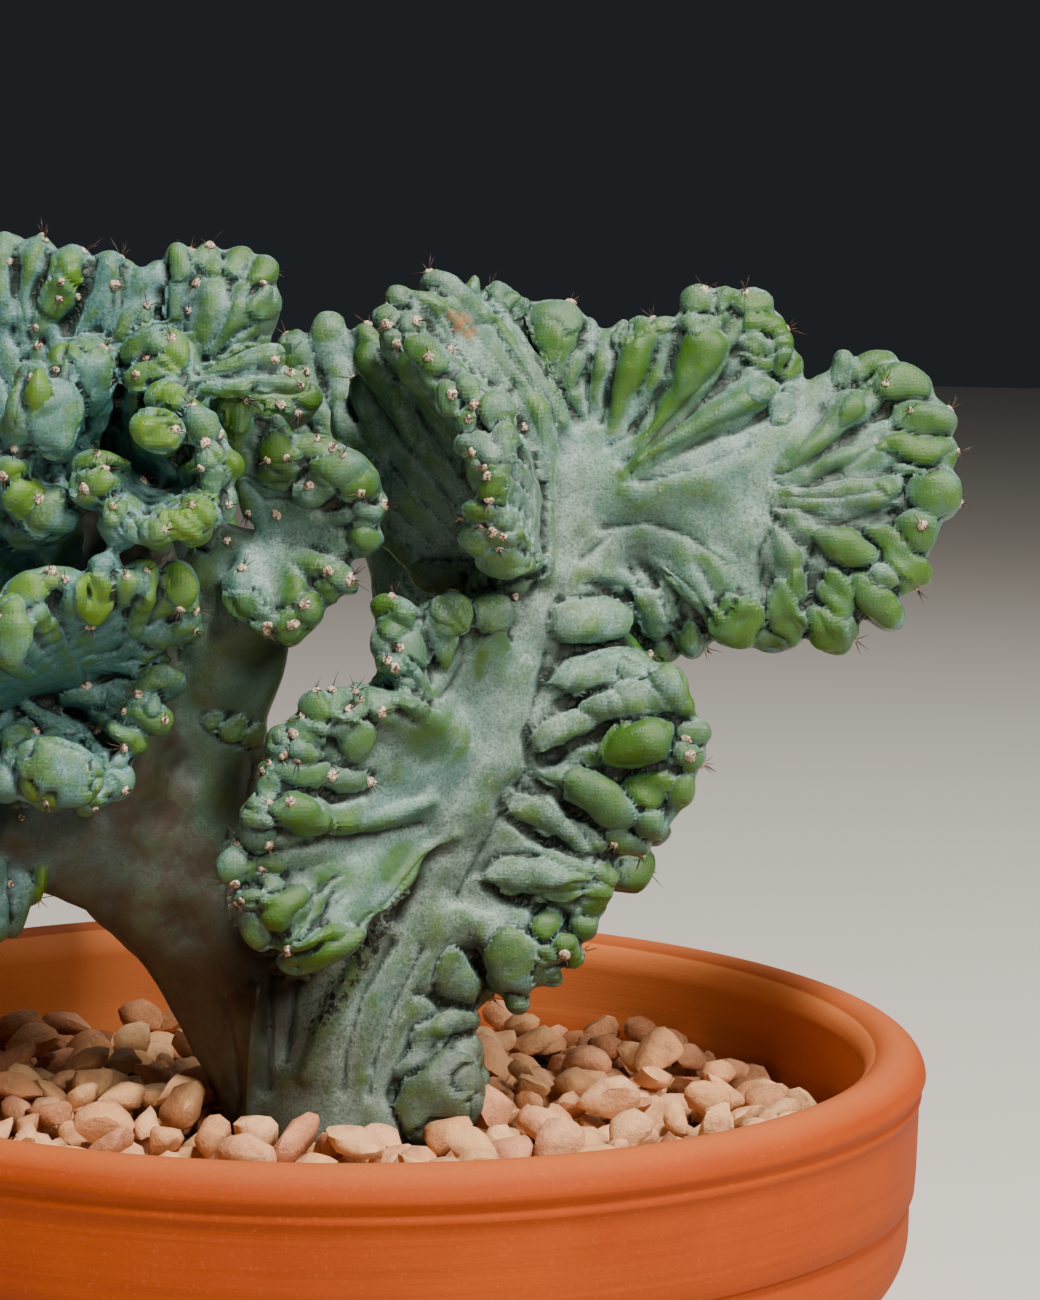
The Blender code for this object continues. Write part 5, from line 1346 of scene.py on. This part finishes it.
# Short felted wool: dull, cream, with brown pits where the spines stand.
felt, tree, shader, place = new_material("felted_areole_wool")
fibre = add(tree, "TexNoise", {"Vector": place, "Scale": 1 / (0.7 * MM), "Detail": 3, "Roughness": 0.7})
pit = add(tree, "MapRange", {0: fibre, 1: 0.42, 2: 0.56})
colour = add(tree, "Mix", {0: pit, 6: linear(WOOL_PIT), 7: linear(WOOL)}, 2, data_type="RGBA")
tree.links.new(colour, shader["Base Color"])
shader["Roughness"].default_value = 0.95
tree.links.new(add(tree, "Bump", {"Height": fibre, "Strength": 0.6, "Distance": 0.4 * MM}), shader["Normal"])
wool = new_piece("areole_wool", tufts, scattered(len(ball), ball_faces, len(feet)), felt)
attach(wool, "root")

per_tuft = dice.integers(*SPINES_PER_TUFT, len(feet))
owner = np.repeat(np.arange(len(feet)), per_tuft)
lean = unit(outward[owner] + SPINE_SPREAD * dice.normal(size=(len(owner), 3)))
lean = unit(lean + SPINE_UPRIGHT * outward[owner])
axes = frames(lean, dice)
length = dice.uniform(*SPINE_LENGTH, len(owner))
turn = np.linspace(0, 2 * math.pi, 3, endpoint=False)
rings = []
for way, thickness in SPINE_TAPER:
    bend = SPINE_BEND * way ** 2 * length[:, None]
    centre = feet[owner] + lean * (way * length)[:, None] + axes[:, 0] * bend
    ring = axes[:, None, 0] * np.cos(turn)[:, None] + axes[:, None, 1] * np.sin(turn)[:, None]
    rings.append(centre[:, None] + ring * SPINE_RADIUS * thickness)
spine_points = np.concatenate(rings, axis=1)
# The faces of one spine over its three rings of three points. The two ends are triangles, whose
# last point is given twice.
one_spine = np.array([[0, 1, 4, 3], [1, 2, 5, 4], [2, 0, 3, 5], [3, 4, 7, 6], [4, 5, 8, 7], [5, 3, 6, 8],
                      [2, 1, 0, 0], [6, 7, 8, 8]])
spine_faces = [face[:3] if face[2] == face[3] else face for face in scattered(9, one_spine, len(owner))]

# Stiff dark spines: horn-like, brown-black, with a slight shine.
horn, tree, shader, place = new_material("dark_horny_spines")
streak = add(tree, "TexNoise", {"Vector": place, "Scale": 1 / (2.5 * MM), "Detail": 2})
colour = add(tree, "Mix", {0: streak, 6: linear(HORN), 7: linear(HORN_PALE)}, 2, data_type="RGBA")
tree.links.new(colour, shader["Base Color"])
shader["Roughness"].default_value = 0.45
spines = new_piece("spines", spine_points, spine_faces, horn)
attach(spines, "root")

# The soil. A gritty, free-draining mix of loam, bark and grit, tipped in and pressed round the
# foot of the stem. It shows as dark crumbs between the chips, most of all at the back.
SOIL_TOP = 61 * MM
SOIL_RADIUS = 182.4 * MM
SOIL_GAP = 0.5 * MM
SOIL_FOOT = BOWL_FLOOR + 0.4 * MM
SOIL_RINGS = 70
SOIL_SPOKES = 240
# The crumbs' sizes and heights in mm, and the clumps as (pixel x, pixel y, radius in mm).
CRUMBS = ((23, 1.5), (9, 1.2), (4, 0.8))
CRUMB_WAVES = 5
CLUMPS = [(130, 1003, 16), (200, 1006, 12), (28, 1012, 10), (640, 1035, 9)]
CLUMP_HEIGHT = 9 * MM
CLUMP_LEVEL = SOIL_TOP + 6 * MM
LOAM = "#120c08"
LOAM_PALE = "#4a3526"
GRIT = "#8c735c"

# The section follows the bowl's wall just inside it, and then the open top to the middle.
soil_section = bowl_profile()[1:8] - (SOIL_GAP, 0)
soil_section[0] = (soil_section[0][0] - 1 * MM, SOIL_FOOT)
radii = np.concatenate([[0], soil_section[:, 0], np.linspace(SOIL_RADIUS, 0, SOIL_RINGS)])
heights = np.concatenate([[SOIL_FOOT], soil_section[:, 1], np.full(SOIL_RINGS, SOIL_TOP)])
angles = np.linspace(0, 2 * math.pi, SOIL_SPOKES, endpoint=False)
soil_points = np.stack([radii[:, None] * np.cos(angles), radii[:, None] * np.sin(angles),
                        np.repeat(heights[:, None], SOIL_SPOKES, axis=1)], axis=-1)
crumbs = np.zeros(soil_points.shape[:2])
for size, amount in CRUMBS:
    for _ in range(CRUMB_WAVES):
        wave = dice.normal(size=2) * 2 * math.pi / (size * MM) / 1.5
        crumbs += amount * MM * 0.5 * np.sin(soil_points[..., :2] @ wave + dice.uniform(0, 2 * math.pi))
for px, py, radius in CLUMPS:
    line = seen(px, py, 0) - EYE
    middle = EYE + line * (CLUMP_LEVEL - EYE[2]) / line[2]
    gap = np.linalg.norm(soil_points[..., :2] - middle[:2], axis=-1)
    crumbs += CLUMP_HEIGHT * np.exp(-(gap / (radius * MM)) ** 2)
top = len(radii) - SOIL_RINGS
soil_points[top:, :, 2] += crumbs[top:]

# Damp crumbly potting mix: near black brown, dull, with paler specks of grit and bark.
loam, tree, shader, place = new_material("gritty_potting_mix")
crumb = add(tree, "TexNoise", {"Vector": place, "Scale": 1 / (3 * MM), "Detail": 6, "Roughness": 0.75})
speck = add(tree, "TexVoronoi", {"Vector": place, "Scale": 1 / (2.5 * MM)})
colour = add(tree, "Mix", {0: crumb, 6: linear(LOAM), 7: linear(LOAM_PALE)}, 2, data_type="RGBA")
grit = add(tree, "MapRange", {0: speck, 1: 0.22, 2: 0.12, 4: 0.6})
colour = add(tree, "Mix", {0: grit, 6: colour, 7: linear(GRIT)}, 2, data_type="RGBA")
tree.links.new(colour, shader["Base Color"])
shader["Roughness"].default_value = 0.95
tree.links.new(add(tree, "Bump", {"Height": crumb, "Strength": 0.9, "Distance": 2 * MM}), shader["Normal"])
soil = new_piece("soil", soil_points, grid_faces(len(radii), SOIL_SPOKES), loam)
sealed(soil)
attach(soil, "root")
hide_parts("potting_mix")

# The chips. Loose crushed stone, tumbled until its corners are blunt, poured on the soil and
# left as it fell: tan, pink and brown pieces, most of them 13 to 22 mm long and a few from 9 to
# 26 mm, with soil dust on them.
CHIP_HALF = (6.2 * MM, 12.6 * MM)
CHIP_FLOOR = 59 * MM
CHIP_RIM = 182.5 * MM
LAYER_SPACING = 16.6 * MM
LAYER_REACH = 14
ROW_SPACING = 0.87
LAYER_LIFTS = (5 * MM, 14 * MM)
UPPER_SHARE = 0.78
STRAY = 0.35
RIM_MARGIN = 5 * MM
SIZE_SPREAD = (1.6, 2.4)
BALL_SHARE = 0.78
SETTLING_ROUNDS = 60
PUSH = 0.35
REST_SHARE = 0.75
PLANT_SHARE = 0.45
SINK = (0, 0, 0.25 * MM)
CHIP_CUTS = 9
CUT_DISTANCES = (0.4, 0.8)
CUT_SHARE = 0.85
CHIP_UNEVEN = 0.06
CHIP_WIDTHS = (0.62, 0.92)
CHIP_DEPTHS = (0.45, 0.75)
CHIP_GROWN = 1.12
CHIP_LEAN = (0.5, 0.5, 0.2)
CHIP_EDGE_ANGLE = 52
STONE_TINTS = ((0.0, "#a56a44"), (0.2, "#cf9464"), (0.45, "#deaa74"), (0.65, "#cc8c68"),
               (0.85, "#e4b482"), (1.0, "#d8a474"))
STONE_DARK = "#8a5a44"
STONE_DUST = "#e6c196"

# Two loose layers of balls press each other apart and down, inside the rim.
side = np.arange(-LAYER_REACH, LAYER_REACH + 1)
column, row = np.meshgrid(side, side)
lower = np.column_stack([(column + 0.5 * (row % 2)).ravel(), (row * ROW_SPACING).ravel()])
lower = lower * LAYER_SPACING
upper = dice.permutation(lower + 0.5 * LAYER_SPACING)[: int(UPPER_SHARE * len(lower))]
centres = np.concatenate([np.column_stack([layer, np.full(len(layer), CHIP_FLOOR + lift)])
                          for layer, lift in zip((lower, upper), LAYER_LIFTS)])
centres += dice.uniform(-STRAY, STRAY, centres.shape) * LAYER_SPACING * (1, 1, 0.1)
centres = centres[np.hypot(centres[:, 0], centres[:, 1]) < CHIP_RIM - RIM_MARGIN]
halves = CHIP_HALF[0] + (CHIP_HALF[1] - CHIP_HALF[0]) * dice.beta(*SIZE_SPREAD, len(centres))
ball_radius = BALL_SHARE * halves
for _ in range(SETTLING_ROUNDS):
    gap = centres[:, None] - centres[None]
    far = np.sqrt(np.sum(gap ** 2, axis=-1)) + np.eye(len(centres))
    press = np.clip(ball_radius[:, None] + ball_radius[None] - far, 0, None) * (1 - np.eye(len(centres)))
    centres = centres + PUSH * np.sum(gap * (press / far)[..., None], axis=1) - SINK
    centres[:, 2] = np.maximum(centres[:, 2], CHIP_FLOOR + REST_SHARE * ball_radius)
    out = np.hypot(centres[:, 0], centres[:, 1])
    centres[:, :2] *= np.minimum(1, (CHIP_RIM - ball_radius) / out)[:, None]

# No stone stands in the plant.
clear = []
for centre, radius in zip(centres, ball_radius):
    place, normal, _, gap = whole.find_nearest(Vector(centre))
    inside = (Vector(centre) - place).dot(normal) < 0
    clear.append(not inside and gap > PLANT_SHARE * radius)
centres, halves = centres[clear], halves[clear]

# Each ball is cut flat on some sides, made a little uneven, flattened and laid down.
stone, stone_faces = faceted_ball()
count = len(centres)
shapes = np.repeat(stone[None], count, axis=0)
for _ in range(CHIP_CUTS):
    cut = unit(dice.normal(size=(count, 1, 3)))
    beyond = np.clip(np.sum(shapes * cut, axis=-1) - dice.uniform(*CUT_DISTANCES, (count, 1)), 0, None)
    shapes = shapes - cut * (beyond * CUT_SHARE)[..., None]
shapes *= 1 + dice.uniform(-CHIP_UNEVEN, CHIP_UNEVEN, (count, len(stone), 1))
shapes *= np.stack([np.ones(count), dice.uniform(*CHIP_WIDTHS, count), dice.uniform(*CHIP_DEPTHS, count)],
                   axis=-1)[:, None]
upright = unit(dice.normal(size=(count, 3)) * CHIP_LEAN + (0, 0, 1))
chips = centres[:, None] + np.einsum("npi,nij->npj", shapes * halves[:, None, None] * CHIP_GROWN,
                                     frames(upright, dice))

# Crushed stone: dull and chalky, each piece its own tan, pink or brown, dusted with soil.
rock, tree, shader, place = new_material("tumbled_stone_chips")
tone = add(tree, "Attribute", {}, "Fac", attribute_name="tone")
hue = add(tree, "ValToRGB", {0: tone})
ramp = tree.nodes[-1].color_ramp
for at, tint in STONE_TINTS[:-1]:
    stop = ramp.elements.new(at)
    stop.color = linear(tint)
ramp.elements.remove(ramp.elements[0])
ramp.elements[-1].color = linear(STONE_TINTS[-1][1])
vein = add(tree, "TexNoise", {"Vector": place, "Scale": 1 / (7 * MM), "Detail": 6, "Roughness": 0.65})
chalk = add(tree, "TexNoise", {"Vector": place, "Scale": 1 / (1.3 * MM), "Detail": 4, "Roughness": 0.7})
dark = add(tree, "MapRange", {0: vein, 1: 0.54, 2: 0.35, 4: 0.45})
colour = add(tree, "Mix", {0: dark, 6: hue, 7: linear(STONE_DARK)}, 2, data_type="RGBA")
dusty = add(tree, "MapRange", {0: chalk, 1: 0.5, 2: 0.75, 4: 0.4})
colour = add(tree, "Mix", {0: dusty, 6: colour, 7: linear(STONE_DUST)}, 2, data_type="RGBA")
tree.links.new(colour, shader["Base Color"])
shader["Roughness"].default_value = 0.85
pitted = add(tree, "Bump", {"Height": vein, "Strength": 0.7, "Distance": 2 * MM})
pitted = add(tree, "Bump", {"Height": chalk, "Strength": 0.6, "Distance": 0.6 * MM, "Normal": pitted})
tree.links.new(pitted, shader["Normal"])
gravel = new_piece("stone_chips", chips, scattered(len(stone), stone_faces, count), rock)
gravel.data.set_sharp_from_angle(angle=math.radians(CHIP_EDGE_ANGLE))
tones = np.repeat(dice.uniform(0, 1, count), len(stone))
gravel.data.attributes.new("tone", "FLOAT", "POINT").data.foreach_set("value", tones)
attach(gravel, "root")
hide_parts("gravel_top_dressing")

# The studio: a plain pale floor, a soft key light from high in front, two weaker ones from the
# right, a faint one behind and an even pale surround. The camera stands where the photograph was
# taken from.
FLOOR_HALF = 6
SENSOR_MM = 36
SURROUND_STRENGTH = 0.03
FLOOR_PAPER = "#cbc8c2"
LAMP_WARM = "#fff6ea"
LAMP_WHITE = "#ffffff"
SURROUND = "#c4d0dc"

# Matte paper: dull and even, without a sheen.
paper, tree, shader, place = new_material("matte_paper_floor")
shader["Base Color"].default_value = linear(FLOOR_PAPER)
shader["Roughness"].default_value = 0.9
floor_points = [(FLOOR_HALF * x, FLOOR_HALF * y, 0) for x, y in ((-1, -1), (1, -1), (1, 1), (-1, 1))]
floor = new_piece("floor", floor_points, [(0, 1, 2, 3)], paper)


def soft_light(name, place, aim, size, power, colour):
    """A square area light of size metres and power watts at place, turned to aim."""
    data = bpy.data.lights.new(name, "AREA")
    data.size = size
    data.energy = power
    data.color = linear(colour)[:3]
    light = bpy.data.objects.new(name, data)
    light.location = place
    light.rotation_euler = (Vector(aim) - Vector(place)).to_track_quat("-Z", "Y").to_euler()
    bpy.context.scene.collection.objects.link(light)


soft_light("key_light", (0.4, -1.0, 2.2), (0, 0, 0.18), 0.4, 92, LAMP_WARM)
soft_light("front_light", (0.9, -1.9, 1.4), (0, 0, 0.18), 0.5, 33, LAMP_WARM)
soft_light("side_light", (1.5, -0.4, 1.2), (0, 0, 0.18), 0.5, 15, LAMP_WARM)
soft_light("rim_light", (0.6, 1.5, 1.6), (0, 0, 0.25), 0.9, 6, LAMP_WHITE)
surround = bpy.data.worlds.new("surround")
surround.use_nodes = True
surround.node_tree.nodes["Background"].inputs["Color"].default_value = linear(SURROUND)
surround.node_tree.nodes["Background"].inputs["Strength"].default_value = SURROUND_STRENGTH
bpy.context.scene.world = surround

camera_data = bpy.data.cameras.new("camera")
camera_data.sensor_width = SENSOR_MM
camera_data.sensor_fit = "AUTO"
camera_data.lens = EYE_FOCAL_PX / max(PICTURE_SIZE) * SENSOR_MM
camera = bpy.data.objects.new("camera", camera_data)
stance = Matrix((eye_right, eye_up, -eye_ahead)).transposed().to_4x4()
stance.translation = EYE
camera.matrix_world = stance
bpy.context.scene.collection.objects.link(camera)
bpy.context.scene.camera = camera
